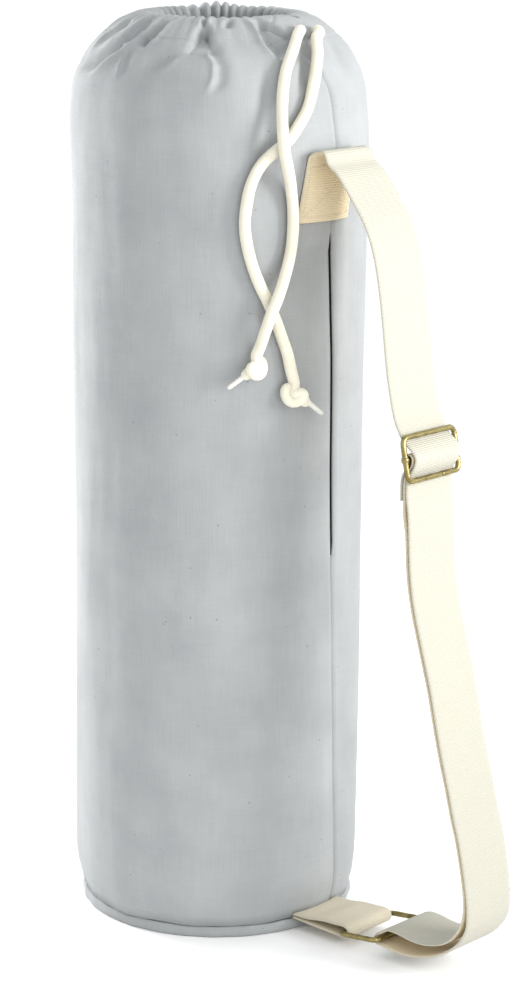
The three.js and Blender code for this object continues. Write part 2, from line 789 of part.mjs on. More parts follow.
// Routes of the free cord ends, chosen by hand: angle from +X, distance from the axis, height.
const CORD_ROUTES = {
  left: [
    [-1.2, 71.8, 645],
    [-1.8, 75, 648.2],
    [-4.4, 78.8, 651],
    [-7.8, 83, 649.4],
    [-11, 86.3, 645.2],
    [-16.3, 91.9, 638.8],
    [-21.2, 97.9, 631.3],
    [-24.5, 102.7, 623.4],
    [-26.4, 107.9, 611.8],
    [-27.3, 112, 598.1],
    [-27.6, 117, 584.6],
    [-26.6, 119.7, 571],
    [-24, 116, 557.3],
    [-21.5, 112.6, 543.5],
    [-18.6, 110.6, 529.6],
    [-18.1, 110.4, 515.8],
    [-19.2, 111, 502.2],
    [-23.5, 114.4, 488.7],
    [-27.5, 118.6, 475.2],
    [-30.1, 119.6, 461.6],
    [-32, 117.6, 447.9],
    [-33.1, 113.6, 437.6],
    [-34.3, 112.4, 430.8],
  ],
  right: [
    [11.3, 73.2, 643.8],
    [10.7, 76.4, 647],
    [7.9, 80.5, 649.8],
    [4.4, 85, 647.6],
    [0.6, 89, 642.9],
    [-2.6, 94.9, 634.8],
    [-6.8, 101.9, 624.8],
    [-10.9, 107.7, 611.8],
    [-14.4, 110, 598.5],
    [-18.6, 110.1, 586.8],
    [-22.9, 110.1, 577],
    [-28.7, 110.1, 569.9],
    [-33.8, 110.1, 560.7],
    [-37.4, 110.1, 548],
    [-39.1, 110.1, 534.4],
    [-39.4, 110.1, 520.8],
    [-38.6, 110.1, 507.1],
    [-36.4, 110.1, 493.3],
    [-33.4, 110.1, 480.8],
    [-30, 110.1, 468.7],
    [-27.3, 110.1, 457.4],
    [-24.4, 110.3, 443.8],
    [-22, 110.8, 431.6],
    [-20.3, 111.6, 418.7],
    [-19.5, 112.2, 409.9],
  ],
};
const CORD_SIDES = 8;
const CORD_STEP = 2;

const cylindrical = ([angle, r, z]) =>
  new THREE.Vector3(r * Math.cos(radians(angle)), r * Math.sin(radians(angle)), z);

function roundSection(diameter, sides) {
  const section = new THREE.Shape();
  for (let step = 0; step < sides; step++) {
    const turn = (2 * Math.PI * step) / sides;
    const [x, y] = [(Math.cos(turn) * diameter) / 2, (Math.sin(turn) * diameter) / 2];
    if (step === 0) section.moveTo(x, y);
    else section.lineTo(x, y);
  }
  section.closePath();
  return section;
}

function cordGeometry(points, diameter) {
  const route = new THREE.CatmullRomCurve3(points, false, "centripetal");
  const steps = Math.ceil(route.getLength() / (CORD_STEP * diameter));
  return new THREE.ExtrudeGeometry(roundSection(diameter, CORD_SIDES), {
    extrudePath: route,
    steps,
    bevelEnabled: false,
  });
}

// The hidden run of the cord stops short of the eyelets, where the free ends begin.
const LOOP_FROM = 26;
const LOOP_TO = 350;
const LOOP_STEPS = 32;
const LOOP_SIDES = 7;

function loopGeometry() {
  const rings = [];
  for (let step = 0; step <= LOOP_STEPS; step++) {
    const angle = lerp(LOOP_FROM, LOOP_TO, step / LOOP_STEPS);
    const centre = CASING_HEIGHT + casingRise(angle);
    const ring = [];
    for (let side = 0; side < LOOP_SIDES; side++) {
      const turn = (2 * Math.PI * side) / LOOP_SIDES;
      const r = RING_RADIUS + (Math.cos(turn) * CORD_DIAMETER) / 2;
      ring.push(cylindrical([angle, r, centre + (Math.sin(turn) * CORD_DIAMETER) / 2]).toArray());
    }
    rings.push(ring);
  }
  return skin(rings, false);
}

// Knots and tips. angle and z: the knot's centre; tipAngle and tipZ: the tip's centre;
// lean: the tip's slope below the level; hand: which way round the wall it points.
const ENDS = {
  left: { angle: -36.6, z: 421.4, tipAngle: -44.3, tipZ: 411.9, lean: 36, hand: -1 },
  right: { angle: -18.5, z: 400.8, tipAngle: -10.8, tipZ: 391.4, lean: 34, hand: 1 },
};
const KNOT_STANDOFF = 10.4;

// A tight overhand knot: two crossing turns of the cord round a core.
function knotGeometry({ angle, z }, tilt) {
  const turn = KNOT_WIDTH / 2 - CORD_RADIUS;
  const coil = () => new THREE.TorusGeometry(turn, CORD_RADIUS, 7, 12);
  const upright = coil().rotateX(radians(62 + tilt));
  const level = coil().rotateX(radians(62 + tilt)).rotateZ(radians(90)).rotateY(radians(24));
  const core = new THREE.SphereGeometry(KNOT_WIDTH * 0.3, 8, 6);
  const solid = [upright, level, core].map(solidFrom).reduce((joined, part) => joined.add(part));
  const geometry = geometryOf(solid);
  geometry.rotateX(Math.PI / 2);
  geometry.scale(0.84, 1.12, 1);
  geometry.rotateZ(radians(angle));
  const centre = cylindrical([angle, BAG_RADIUS + KNOT_STANDOFF, z]);
  geometry.translate(centre.x, centre.y, centre.z);
  return geometry;
}

function tipGeometry({ tipAngle, tipZ, lean, hand }) {
  const tip = new THREE.CylinderGeometry(TIP_DIAMETER / 2, TIP_DIAMETER * 0.42, TIP_LENGTH, 8);
  tip.rotateX(-hand * radians(lean));
  tip.rotateZ(radians(tipAngle));
  const centre = cylindrical([tipAngle, BAG_RADIUS + KNOT_STANDOFF, tipZ]);
  tip.translate(centre.x, centre.y, centre.z);
  return tip;
}

place("bag_body", bodyGeometry(), "canvas");
place("base_panel", baseGeometry(), "canvas");
place("strap", webbingGeometry(strapRows()), "webbing");
place("ring_tab", webbingGeometry(tabRows()), "webbing");
place("strap_ring", wireFrame(nearBar, farBar), "brass");
place("slider_frame", wireFrame(sliderPlace(-barPitch, 0), sliderPlace(barPitch, 0)), "brass");
place("slider_bar", sliderBarGeometry(), "brass");
place("drawcord_loop", loopGeometry(), "cord");
place("drawcord_left", cordGeometry(CORD_ROUTES.left.map(cylindrical), CORD_DIAMETER), "cord");
place("drawcord_right", cordGeometry(CORD_ROUTES.right.map(cylindrical), CORD_DIAMETER), "cord");
place("knot_left", knotGeometry(ENDS.left, 0), "cord");
place("knot_right", knotGeometry(ENDS.right, 12), "cord");
place("tip_left", tipGeometry(ENDS.left), "tip");
place("tip_right", tipGeometry(ENDS.right), "tip");

export default bag;
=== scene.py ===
"""Looks of a yoga mat bag: a gathered canvas tube, its drawcord, webbing strap and brass wire parts.

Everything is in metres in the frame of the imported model: +Z is up, +X points to the side seam and
the strap, and the origin is the centre of the base. Tables hold shares of the named sizes, or
millimetres where their heading says so.
"""

import logging
import math
from dataclasses import dataclass, field
from enum import Enum

import bmesh
import bpy
import numpy as np
from mathutils import Matrix, Vector


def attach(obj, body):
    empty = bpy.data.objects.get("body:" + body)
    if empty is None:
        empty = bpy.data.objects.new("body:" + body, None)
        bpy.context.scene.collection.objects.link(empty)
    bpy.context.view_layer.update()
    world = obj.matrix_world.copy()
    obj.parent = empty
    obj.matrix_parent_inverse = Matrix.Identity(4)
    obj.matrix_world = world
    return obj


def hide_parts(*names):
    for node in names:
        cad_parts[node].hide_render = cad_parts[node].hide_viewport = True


Socket = bpy.types.NodeSocket
SceneObject = bpy.types.Object
Material = bpy.types.Material

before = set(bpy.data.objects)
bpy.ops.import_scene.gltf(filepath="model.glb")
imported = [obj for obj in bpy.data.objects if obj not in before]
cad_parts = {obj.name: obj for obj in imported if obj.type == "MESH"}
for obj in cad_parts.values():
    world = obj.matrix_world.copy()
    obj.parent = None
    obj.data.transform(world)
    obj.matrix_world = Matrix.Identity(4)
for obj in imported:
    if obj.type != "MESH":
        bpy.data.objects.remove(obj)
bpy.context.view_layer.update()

MM = 0.001
LOG = logging.getLogger("yoga_mat_bag")
BODY = "root"


# Small maths


def smooth(value: np.ndarray) -> np.ndarray:
    """Returns a soft step that rises from 0 to 1 as the value does."""
    held = np.clip(value, 0.0, 1.0)
    return held * held * (3.0 - 2.0 * held)


def turn_between(first: np.ndarray, second: np.ndarray) -> np.ndarray:
    """Returns the signed turn from the second angle to the first, in degrees."""
    return (first - second + 540.0) % 360.0 - 180.0


def hump(value: np.ndarray, place: float, width: float) -> np.ndarray:
    """Returns a bell that is 1 at a place and falls off over a width."""
    return np.exp(-(((value - place) / width) ** 2))


def unit(vectors: np.ndarray) -> np.ndarray:
    """Returns the vectors at length one."""
    return vectors / np.maximum(np.linalg.norm(vectors, axis=-1, keepdims=True), 1e-12)


def arc_lengths(points: np.ndarray) -> np.ndarray:
    """Returns the distance along a line of points, from its first point."""
    steps = np.linalg.norm(np.diff(points, axis=0), axis=1)
    return np.concatenate([[0.0], np.cumsum(steps)])


def smooth_line(points: np.ndarray, spacing: float) -> np.ndarray:
    """Runs a centripetal spline through points and divides it evenly.

    Args:
        points: The points that the line passes, as rows.
        spacing: The distance between neighbours of the result.

    Returns:
        The divided line, with the same two ends.
    """
    padded = np.vstack([2 * points[0] - points[1], points, 2 * points[-1] - points[-2]])
    dense: list[np.ndarray] = []
    for index in range(1, len(padded) - 2):
        p0, p1, p2, p3 = padded[index - 1 : index + 3]
        knots = [0.0]
        for start, end in ((p0, p1), (p1, p2), (p2, p3)):
            knots.append(knots[-1] + max(np.linalg.norm(end - start) ** 0.5, 1e-9))
        t0, t1, t2, t3 = knots
        t = np.linspace(t1, t2, 24, endpoint=False)[:, None]
        a1 = (t1 - t) / (t1 - t0) * p0 + (t - t0) / (t1 - t0) * p1
        a2 = (t2 - t) / (t2 - t1) * p1 + (t - t1) / (t2 - t1) * p2
        a3 = (t3 - t) / (t3 - t2) * p2 + (t - t2) / (t3 - t2) * p3
        b1 = (t2 - t) / (t2 - t0) * a1 + (t - t0) / (t2 - t0) * a2
        b2 = (t3 - t) / (t3 - t1) * a2 + (t - t1) / (t3 - t1) * a3
        dense.append((t2 - t) / (t2 - t1) * b1 + (t - t1) / (t2 - t1) * b2)
    line = np.vstack([*dense, padded[-2][None, :]])
    along = arc_lengths(line)
    wanted = np.linspace(0.0, along[-1], max(int(round(along[-1] / spacing)), 2) + 1)
    return np.stack([np.interp(wanted, along, line[:, axis]) for axis in range(line.shape[1])], axis=1)


def cylindrical(angle: float, radius: float, height: float) -> tuple[float, float, float]:
    """Returns the point at an angle in degrees, a radius and a height in millimetres."""
    turn = math.radians(angle)
    return (radius * math.cos(turn) * MM, radius * math.sin(turn) * MM, height * MM)


class SoftWaves:
    """A seeded sum of long waves over the angle round the bag and the way up it."""

    def __init__(self, seed: int, count: int, turns: tuple[int, int], rise: float) -> None:
        """Draws the waves.

        Args:
            seed: The seed of the draw.
            count: How many waves are added.
            turns: Fewest and most whole waves round the bag.
            rise: Most radians of wave in a metre of height.
        """
        draw = np.random.default_rng(seed)
        self.turns = draw.integers(turns[0], turns[1] + 1, count)
        self.rise = draw.uniform(-rise, rise, count)
        self.phase = draw.uniform(0.0, 2 * math.pi, count)
        self.size = draw.uniform(0.4, 1.0, count)
        self.size /= math.sqrt(float(np.sum(self.size**2)) / 2)

    def at(self, angle: np.ndarray, height: np.ndarray) -> np.ndarray:
        """Returns the waves' height, about one at most, at angles in degrees and heights in metres."""
        total = np.zeros(np.broadcast(angle, height).shape)
        for turns, rise, phase, size in zip(self.turns, self.rise, self.phase, self.size):
            total += size * np.sin(np.radians(angle) * turns + height * rise + phase)
        return total


# Meshes in the making


@dataclass
class Patch:
    """Points, faces and one UV pair for each face corner, in metres."""

    points: np.ndarray
    faces: list[tuple[int, ...]]
    corners: list[tuple[float, float]]
    # Share of painted shade at each point, kept as a mesh attribute for the webbing's warm tan.
    reverse: np.ndarray | None = None

    def add(self, other: "Patch") -> "Patch":
        """Returns both patches as one."""
        start = len(self.points)
        moved = [tuple(index + start for index in face) for face in other.faces]
        return Patch(np.vstack([self.points, other.points]), self.faces + moved, self.corners + other.corners)

    def closed(self, count: int) -> "Patch":
        """Returns the patch with every point from the count on taken for the first ones again."""
        faces = [tuple(index % count for index in face) for face in self.faces]
        return Patch(self.points[:count], faces, self.corners)

    def to_object(self, name: str, material: Material) -> SceneObject:
        """Makes a smooth-shaded object at the origin, with its faces turned outwards.

        Args:
            name: The object's name.
            material: The material of every face.

        Returns:
            The new object, linked to the scene.
        """
        mesh = bpy.data.meshes.new(name)
        mesh.from_pydata(self.points.tolist(), [], self.faces)
        layer = mesh.uv_layers.new(name="cloth")
        layer.data.foreach_set("uv", np.asarray(self.corners, dtype=np.float32).ravel())
        # Painted shade: the share of warm tan that the webbing's material paints at each point.
        if self.reverse is not None:
            shade = mesh.attributes.new("reverse", "FLOAT", "POINT")
            shade.data.foreach_set("value", self.reverse.astype(np.float32))
        work = bmesh.new()
        work.from_mesh(mesh)
        bmesh.ops.recalc_face_normals(work, faces=work.faces)
        work.to_mesh(mesh)
        work.free()
        mesh.polygons.foreach_set("use_smooth", [True] * len(mesh.polygons))
        mesh.materials.append(material)
        return linked(name, mesh)


def linked(name: str, data: bpy.types.ID) -> SceneObject:
    """Returns a new object for a mesh, light or camera, linked to the scene."""
    made = bpy.data.objects.new(name, data)
    bpy.context.scene.collection.objects.link(made)
    return made


def grid_patch(
    points: np.ndarray,
    across: np.ndarray,
    along: np.ndarray,
    wrapped: bool,
    skip: np.ndarray | None = None,
) -> Patch:
    """Joins a grid of points into quads.

    Args:
        points: Rows of columns of points.
        across: UV along a row, with one more value than columns where the grid is wrapped.
        along: UV of each row.
        wrapped: Whether the last column meets the first.
        skip: True for each cell that stays open.

    Returns:
        The patch.
    """
    rows, columns = points.shape[:2]
    cells = columns if wrapped else columns - 1
    row, column = (part.ravel() for part in np.meshgrid(np.arange(rows - 1), np.arange(cells), indexing="ij"))
    if skip is not None:
        kept = ~skip[row, column]
        row, column = row[kept], column[kept]
    beside = (column + 1) % columns
    low, high = row * columns, (row + 1) * columns
    quads = np.stack([low + column, low + beside, high + beside, high + column], axis=1)
    pairs = np.stack(
        [across[column], along[row], across[column + 1], along[row]]
        + [across[column + 1], along[row + 1], across[column], along[row + 1]],
        axis=1,
    ).reshape(-1, 2)
    return Patch(points.reshape(-1, 3), [tuple(q) for q in quads.tolist()], [tuple(p) for p in pairs.tolist()])


def path_frames(path: np.ndarray, closed: bool) -> tuple[np.ndarray, np.ndarray]:
    """Carries two side vectors along a path without twist.

    Args:
        path: The path's points.
        closed: Whether the last point meets the first.

    Returns:
        The two side vectors of each point.
    """
    if closed:
        tangents = unit(np.roll(path, -1, axis=0) - np.roll(path, 1, axis=0))
    else:
        tangents = unit(np.gradient(path, axis=0))
    guide = np.array([0.0, 0.0, 1.0]) if abs(tangents[0][2]) < 0.9 else np.array([0.0, 1.0, 0.0])
    side = np.cross(guide, tangents[0])
    sides = []
    for tangent in tangents:
        side = side - tangent * float(np.dot(side, tangent))
        side = side / np.linalg.norm(side)
        sides.append(side.copy())
    first = np.array(sides)
    return first, np.cross(tangents, first)


# Domed ends of a tube, as (push past the end, width) in radii
CAP_ROWS = ((0.55, 0.78), (0.9, 0.38))
# The cord's plait: length of one crossing in metres, pairs of strands, mean of the relief
PLAIT_PITCH = 0.0042
PLAIT_STRANDS = 6
PLAIT_MEAN = 0.4


def tube_patch(
    path: np.ndarray,
    radii: np.ndarray | float,
    sides: int,
    closed: bool = False,
    plait: float = 0.0,
    flat: float = 1.0,
) -> Patch:
    """Sweeps a round section along a path.

    Args:
        path: The centre line.
        radii: The radius, or one for each point.
        sides: Corners of the section.
        closed: Whether the tube is a loop.
        plait: Depth of the plait's relief.
        flat: Height of the section against its width.

    Returns:
        The tube, with domed ends where it is open.
    """
    radii = np.broadcast_to(np.asarray(radii, dtype=float), (len(path),)).copy()
    if not closed:
        ends = unit(np.stack([path[0] - path[1], path[-1] - path[-2]]))
        push, share = np.array(CAP_ROWS).T
        before = path[0] + ends[0] * (radii[0] * push[::-1])[:, None]
        after = path[-1] + ends[1] * (radii[-1] * push)[:, None]
        path = np.vstack([before, path, after])
        radii = np.concatenate([radii[0] * share[::-1], radii, radii[-1] * share])
    first, second = path_frames(path, closed)
    turn = np.arange(sides) * 2 * math.pi / sides
    along = arc_lengths(path)
    relief = np.zeros((len(path), sides))
    if plait:
        lay = along[:, None] / PLAIT_PITCH * math.pi
        strand = PLAIT_STRANDS * turn[None, :]
        relief = (np.abs(np.sin(strand + lay)) * np.abs(np.sin(strand - lay)) - PLAIT_MEAN) * plait
    reach = radii[:, None] + relief
    points = (
        path[:, None, :]
        + first[:, None, :] * (np.cos(turn)[None, :] * reach)[:, :, None]
        + second[:, None, :] * (np.sin(turn)[None, :] * reach * flat)[:, :, None]
    )
    across = np.arange(sides + 1) * 2 * math.pi / sides * float(np.median(radii))
    if closed:
        loop = np.concatenate([points, points[:1]])
        way = arc_lengths(np.vstack([path, path[:1]]))
        return grid_patch(loop, across, way, True).closed(len(path) * sides)
    patch = grid_patch(points, across, along, True)
    last = (len(path) - 1) * sides
    for start, order in ((0, -1), (last, 1)):
        ring = [start + step for step in range(sides)][::order]
        patch.faces.append(tuple(ring))
        patch.corners.extend((float(across[step]), float(along[0])) for step in range(sides))
    return patch


# Shader nodes


class NodeBoard:
    """Adds and links the nodes of one tree."""

    def __init__(self, tree: bpy.types.NodeTree) -> None:
        """Starts on an empty tree."""
        self.tree = tree
        tree.nodes.clear()

    def add(self, kind: str, **settings: object) -> bpy.types.Node:
        """Adds a node and sets its properties, and returns it."""
        node = self.tree.nodes.new(kind)
        for name, value in settings.items():
            setattr(node, name, value)
        return node

    def feed(self, socket: Socket, value: object) -> None:
        """Links a socket, or sets a plain value, on an input."""
        if isinstance(value, Socket):
            self.tree.links.new(value, socket)
        else:
            socket.default_value = value

    def math(self, operation: str, first: object, second: object = 0.0, third: object = 0.0) -> Socket:
        """Returns the result of a maths node."""
        node = self.add("ShaderNodeMath", operation=operation)
        for socket, value in zip(node.inputs, (first, second, third)):
            self.feed(socket, value)
        return node.outputs[0]

    def ramp(
        self, value: object, low: float, high: float, start: float = 0.0, end: float = 1.0
    ) -> Socket:
        """Returns a value spread from low..high to start..end, held at both ends."""
        node = self.add("ShaderNodeMapRange")
        self.feed(node.inputs["Value"], value)
        for name, number in (("From Min", low), ("From Max", high), ("To Min", start), ("To Max", end)):
            node.inputs[name].default_value = number
        return node.outputs["Result"]

    def mix(self, share: object, first: object, second: object) -> Socket:
        """Returns the mix of two colours."""
        node = self.add("ShaderNodeMix", data_type="RGBA")
        self.feed(node.inputs["Factor"], share)
        self.feed(node.inputs[6], first)
        self.feed(node.inputs[7], second)
        return node.outputs[2]

    def stretch(self, vector: Socket, scale: tuple[float, float, float]) -> Socket:
        """Returns a vector scaled axis by axis."""
        node = self.add("ShaderNodeMapping")
        self.feed(node.inputs["Vector"], vector)
        node.inputs["Scale"].default_value = scale
        return node.outputs["Vector"]

    def noise(
        self, vector: Socket, scale: object, detail: float = 2.0, output: str = "Fac"
    ) -> Socket:
        """Returns noise from about 0 to 1, or another of the noise node's outputs."""
        node = self.add("ShaderNodeTexNoise")
        for name, value in (("Vector", vector), ("Scale", scale), ("Detail", detail)):
            self.feed(node.inputs[name], value)
        return node.outputs[output]

    def finish(self, **values: Socket) -> bpy.types.NodeTree:
        """Feeds the group's outputs and returns the group."""
        result = self.add("NodeGroupOutput")
        for name, value in values.items():
            self.feed(result.inputs[name], value)
        return self.tree

    def group(self, tree: bpy.types.NodeTree, **values: object) -> bpy.types.Node:
        """Adds a node group and feeds its inputs, named with underscores for spaces."""
        node = self.add("ShaderNodeGroup", node_tree=tree)
        for name, value in values.items():
            self.feed(node.inputs[name.replace("_", " ")], value)
        return node


def new_group(name: str, inputs: dict[str, object], outputs: list[str]) -> NodeBoard:
    """Starts a shader node group with named sockets.

    Args:
        name: The group's name.
        inputs: Input names with a default number, or None for a vector.
        outputs: Names of the value outputs.

    Returns:
        A board to fill the group.
    """
    tree = bpy.data.node_groups.new(name, "ShaderNodeTree")
    for label, value in inputs.items():
        kind = "NodeSocketVector" if value is None else "NodeSocketFloat"
        socket = tree.interface.new_socket(label, in_out="INPUT", socket_type=kind)
        if value is not None:
            socket.default_value = value
    for label in outputs:
        tree.interface.new_socket(label, in_out="OUTPUT", socket_type="NodeSocketFloat")
    return NodeBoard(tree)


class Effects:
    """The effects that several finishes share, each a node group that is built once."""

    def __init__(self) -> None:
        """Builds every group."""
        self.weave = self._weave()
        self.flecks = self._flecks()
        self.mottle = self._mottle()

    def _weave(self) -> bpy.types.NodeTree:
        """Returns crossing threads: their height, and the slubs that tint them."""
        sizes = {"Vector": None, "Across Pitch": 0.0005, "Along Pitch": 0.0005, "Rib": 0.5}
        board = new_group("crossing threads", sizes, ["Height", "Slub"])
        given = board.add("NodeGroupInput")
        split = board.add("ShaderNodeSeparateXYZ")
        board.feed(split.inputs[0], given.outputs["Vector"])
        ridges = []
        for axis, pitch in ((0, "Across Pitch"), (1, "Along Pitch")):
            phase = board.math("DIVIDE", split.outputs[axis], given.outputs[pitch])
            ridges.append(board.math("ABSOLUTE", board.math("SINE", board.math("MULTIPLY", phase, math.pi))))
        plain = board.math("MULTIPLY", ridges[0], ridges[1])
        spread = board.math("SUBTRACT", ridges[1], plain)
        height = board.math("MULTIPLY_ADD", spread, given.outputs["Rib"], plain)
        warp = board.noise(board.stretch(given.outputs["Vector"], (1.0, 0.035, 1.0)), 900.0, 3.0)
        weft = board.noise(board.stretch(given.outputs["Vector"], (0.05, 1.0, 1.0)), 800.0, 2.0)
        slub = board.math("MULTIPLY_ADD", warp, 0.62, board.math("MULTIPLY", weft, 0.38))
        return board.finish(Height=height, Slub=slub)

    def _flecks(self) -> bpy.types.NodeTree:
        """Returns sparse specks, 1 on a speck and 0 beside it."""
        sizes = {"Vector": None, "Spacing": 0.02, "Size": 0.0006, "Share": 0.5}
        board = new_group("sparse flecks", sizes, ["Mask"])
        given = board.add("NodeGroupInput")
        wobble = board.add("ShaderNodeVectorMath", operation="MULTIPLY_ADD")
        board.feed(wobble.inputs[0], board.noise(given.outputs["Vector"], 1400.0, output="Color"))
        wobble.inputs[1].default_value = (0.0007, 0.0007, 0.0)
        board.feed(wobble.inputs[2], given.outputs["Vector"])
        cells = board.add("ShaderNodeTexVoronoi")
        board.feed(cells.inputs["Vector"], wobble.outputs[0])
        density = board.math("DIVIDE", 1.0, given.outputs["Spacing"])
        board.feed(cells.inputs["Scale"], density)
        reach = board.math("MULTIPLY", given.outputs["Size"], density)
        near = board.math("LESS_THAN", cells.outputs["Distance"], reach)
        tint = board.add("ShaderNodeSeparateColor")
        board.feed(tint.inputs[0], cells.outputs["Color"])
        chosen = board.math("LESS_THAN", tint.outputs[0], given.outputs["Share"])
        return board.finish(Mask=board.math("MULTIPLY", near, chosen))

    def _mottle(self) -> bpy.types.NodeTree:
        """Returns slow cloudy variation from about 0 to 1."""
        board = new_group("cloudy tone", {"Vector": None, "Size": 0.05}, ["Tone"])
        given = board.add("NodeGroupInput")
        density = board.math("DIVIDE", 1.0, given.outputs["Size"])
        return board.finish(Tone=board.ramp(board.noise(given.outputs["Vector"], density, 3.0), 0.3, 0.7))


Colour = tuple[float, float, float, float]


class Coordinates(Enum):
    """Where a finish reads its pattern."""

    CLOTH = "UV"
    OBJECT = "Object"


def start_material(name: str, source: Coordinates) -> tuple[Material, NodeBoard, Socket]:
    """Starts a material.

    Args:
        name: The material's name.
        source: The coordinates that its pattern follows.

    Returns:
        The material, its board and the coordinate socket.
    """
    material = bpy.data.materials.new(name)
    material.use_nodes = True
    board = NodeBoard(material.node_tree)
    place = board.add("ShaderNodeTexCoord")
    return material, board, place.outputs[source.value]


def end_material(
    board: NodeBoard,
    colour: object,
    roughness: object,
    height: object,
    bump: float,
    fixed: dict[str, float],
) -> None:
    """Finishes a material with a bump, a Principled shader and the output.

    Args:
        board: The material's board.
        colour: Base colour.
        roughness: Roughness.
        height: Height of the relief, or None.
        bump: Distance that a height of one stands for, in metres.
        fixed: Plain values of other shader inputs.
    """
    shader = board.add("ShaderNodeBsdfPrincipled")
    board.feed(shader.inputs["Base Color"], colour)
    board.feed(shader.inputs["Roughness"], roughness)
    for name, value in fixed.items():
        shader.inputs[name].default_value = value
    if height is not None:
        relief = board.add("ShaderNodeBump")
        relief.inputs["Strength"].default_value = 1.0
        relief.inputs["Distance"].default_value = bump
        board.feed(relief.inputs["Height"], height)
        board.feed(shader.inputs["Normal"], relief.outputs["Normal"])
    result = board.add("ShaderNodeOutputMaterial")
    board.feed(result.inputs["Surface"], shader.outputs["BSDF"])


@dataclass(frozen=True)
class CanvasFinish:
    """Matt grey cotton canvas with a fine weave, slubs and a few dark flecks."""

    tone: Colour = (0.362, 0.375, 0.380, 1.0)
    shade: Colour = (0.292, 0.305, 0.311, 1.0)
    fleck: Colour = (0.16, 0.17, 0.17, 1.0)
    thread: float = 0.0006

    def build(self, effects: Effects) -> Material:
        """Returns the material."""
        material, board, place = start_material("grey canvas", Coordinates.CLOTH)
        weave = board.group(effects.weave, Vector=place, Across_Pitch=self.thread, Along_Pitch=self.thread, Rib=0.3)
        cloud = board.group(effects.mottle, Vector=place, Size=0.045)
        flecks = board.group(effects.flecks, Vector=place, Spacing=0.0125, Size=0.0007, Share=0.6)
        slub = board.ramp(weave.outputs["Slub"], 0.32, 0.68)
        worn = board.math("MULTIPLY_ADD", slub, 0.34, board.math("MULTIPLY", cloud.outputs["Tone"], 0.66))
        base = board.mix(worn, self.shade, self.tone)
        speck = board.math("MULTIPLY", flecks.outputs["Mask"], 0.6)
        colour = board.mix(speck, base, self.fleck)
        rough = board.ramp(slub, 0.0, 1.0, 0.94, 0.84)
        height = board.math("MULTIPLY_ADD", slub, 0.8, weave.outputs["Height"])
        fixed = {"Specular IOR Level": 0.25, "Sheen Weight": 0.12, "Sheen Roughness": 0.5}
        end_material(board, colour, rough, height, 0.00012, fixed)
        return material


@dataclass(frozen=True)
class WebbingFinish:
    """Cream cotton webbing with ribs across it, with painted shade: a warm tan painted on its inner face and darker
    colour painted into the rib grooves.
    """

    face: Colour = (0.42, 0.415, 0.36, 1.0)
    # Painted shade: the warm tan that stands in for the shade between the tape's plies.
    inner: Colour = (0.72, 0.61, 0.42, 1.0)
    # Painted shade: the darker colour painted into the low places between the ribs.
    groove_shade: Colour = (0.52, 0.46, 0.34, 1.0)
    rib: float = 0.00165
    yarn: float = 0.0011

    def build(self, effects: Effects) -> Material:
        """Returns the material."""
        material, board, place = start_material("cream webbing", Coordinates.CLOTH)
        weave = board.group(effects.weave, Vector=place, Across_Pitch=self.yarn, Along_Pitch=self.rib, Rib=0.8)
        cloud = board.group(effects.mottle, Vector=place, Size=0.03)
        flecks = board.group(effects.flecks, Vector=place, Spacing=0.03, Size=0.0005, Share=0.3)
        # Painted shade: the reverse attribute mixes the warm tan into the face colour.
        side = board.add("ShaderNodeAttribute", attribute_name="reverse")
        tone = board.mix(side.outputs["Fac"], self.face, self.inner)
        # Painted shade in the rib grooves, added to random yarn and cloudy tone variation.
        low = board.ramp(weave.outputs["Height"], 0.05, 0.6, 0.3, 0.0)
        worn = board.math("MULTIPLY_ADD", board.ramp(weave.outputs["Slub"], 0.35, 0.65), -0.12, 0.1)
        cloudy = board.math("MULTIPLY_ADD", cloud.outputs["Tone"], 0.1, worn)
        groove_shade_and_mottle = board.math("ADD", low, cloudy)
        base = board.mix(board.ramp(groove_shade_and_mottle, 0.0, 1.0), tone, self.groove_shade)
        colour = board.mix(board.math("MULTIPLY", flecks.outputs["Mask"], 0.5), base, (0.3, 0.22, 0.12, 1.0))
        fixed = {"Specular IOR Level": 0.25, "Sheen Weight": 0.1, "Sheen Roughness": 0.5}
        end_material(board, colour, 0.86, weave.outputs["Height"], 0.0003, fixed)
        return material


@dataclass(frozen=True)
class CordFinish:
    """Soft cream plaited cotton, with painted shade in the low places of its plait."""

    light: Colour = (0.76, 0.735, 0.62, 1.0)
    dark: Colour = (0.60, 0.54, 0.42, 1.0)
    lay: float = 0.0013

    def build(self, effects: Effects) -> Material:
        """Returns the material."""
        material, board, place = start_material("plaited cord", Coordinates.CLOTH)
        slant = board.add("ShaderNodeMapping")
        board.feed(slant.inputs["Vector"], place)
        slant.inputs["Rotation"].default_value = (0.0, 0.0, math.radians(45))
        weave = board.group(
            effects.weave, Vector=slant.outputs[0], Across_Pitch=self.lay, Along_Pitch=self.lay, Rib=0.25
        )
        cloud = board.group(effects.mottle, Vector=place, Size=0.012)
        # Painted shade in the plait's low places, added to a random cloudy tone.
        low = board.ramp(weave.outputs["Height"], 0.0, 0.55, 0.3, 0.0)
        groove_shade_and_mottle = board.math("MULTIPLY_ADD", cloud.outputs["Tone"], 0.35, low)
        colour = board.mix(groove_shade_and_mottle, self.light, self.dark)
        fixed = {"Specular IOR Level": 0.25, "Sheen Weight": 0.15, "Sheen Roughness": 0.5}
        end_material(board, colour, 0.85, weave.outputs["Height"], 0.0002, fixed)
        return material


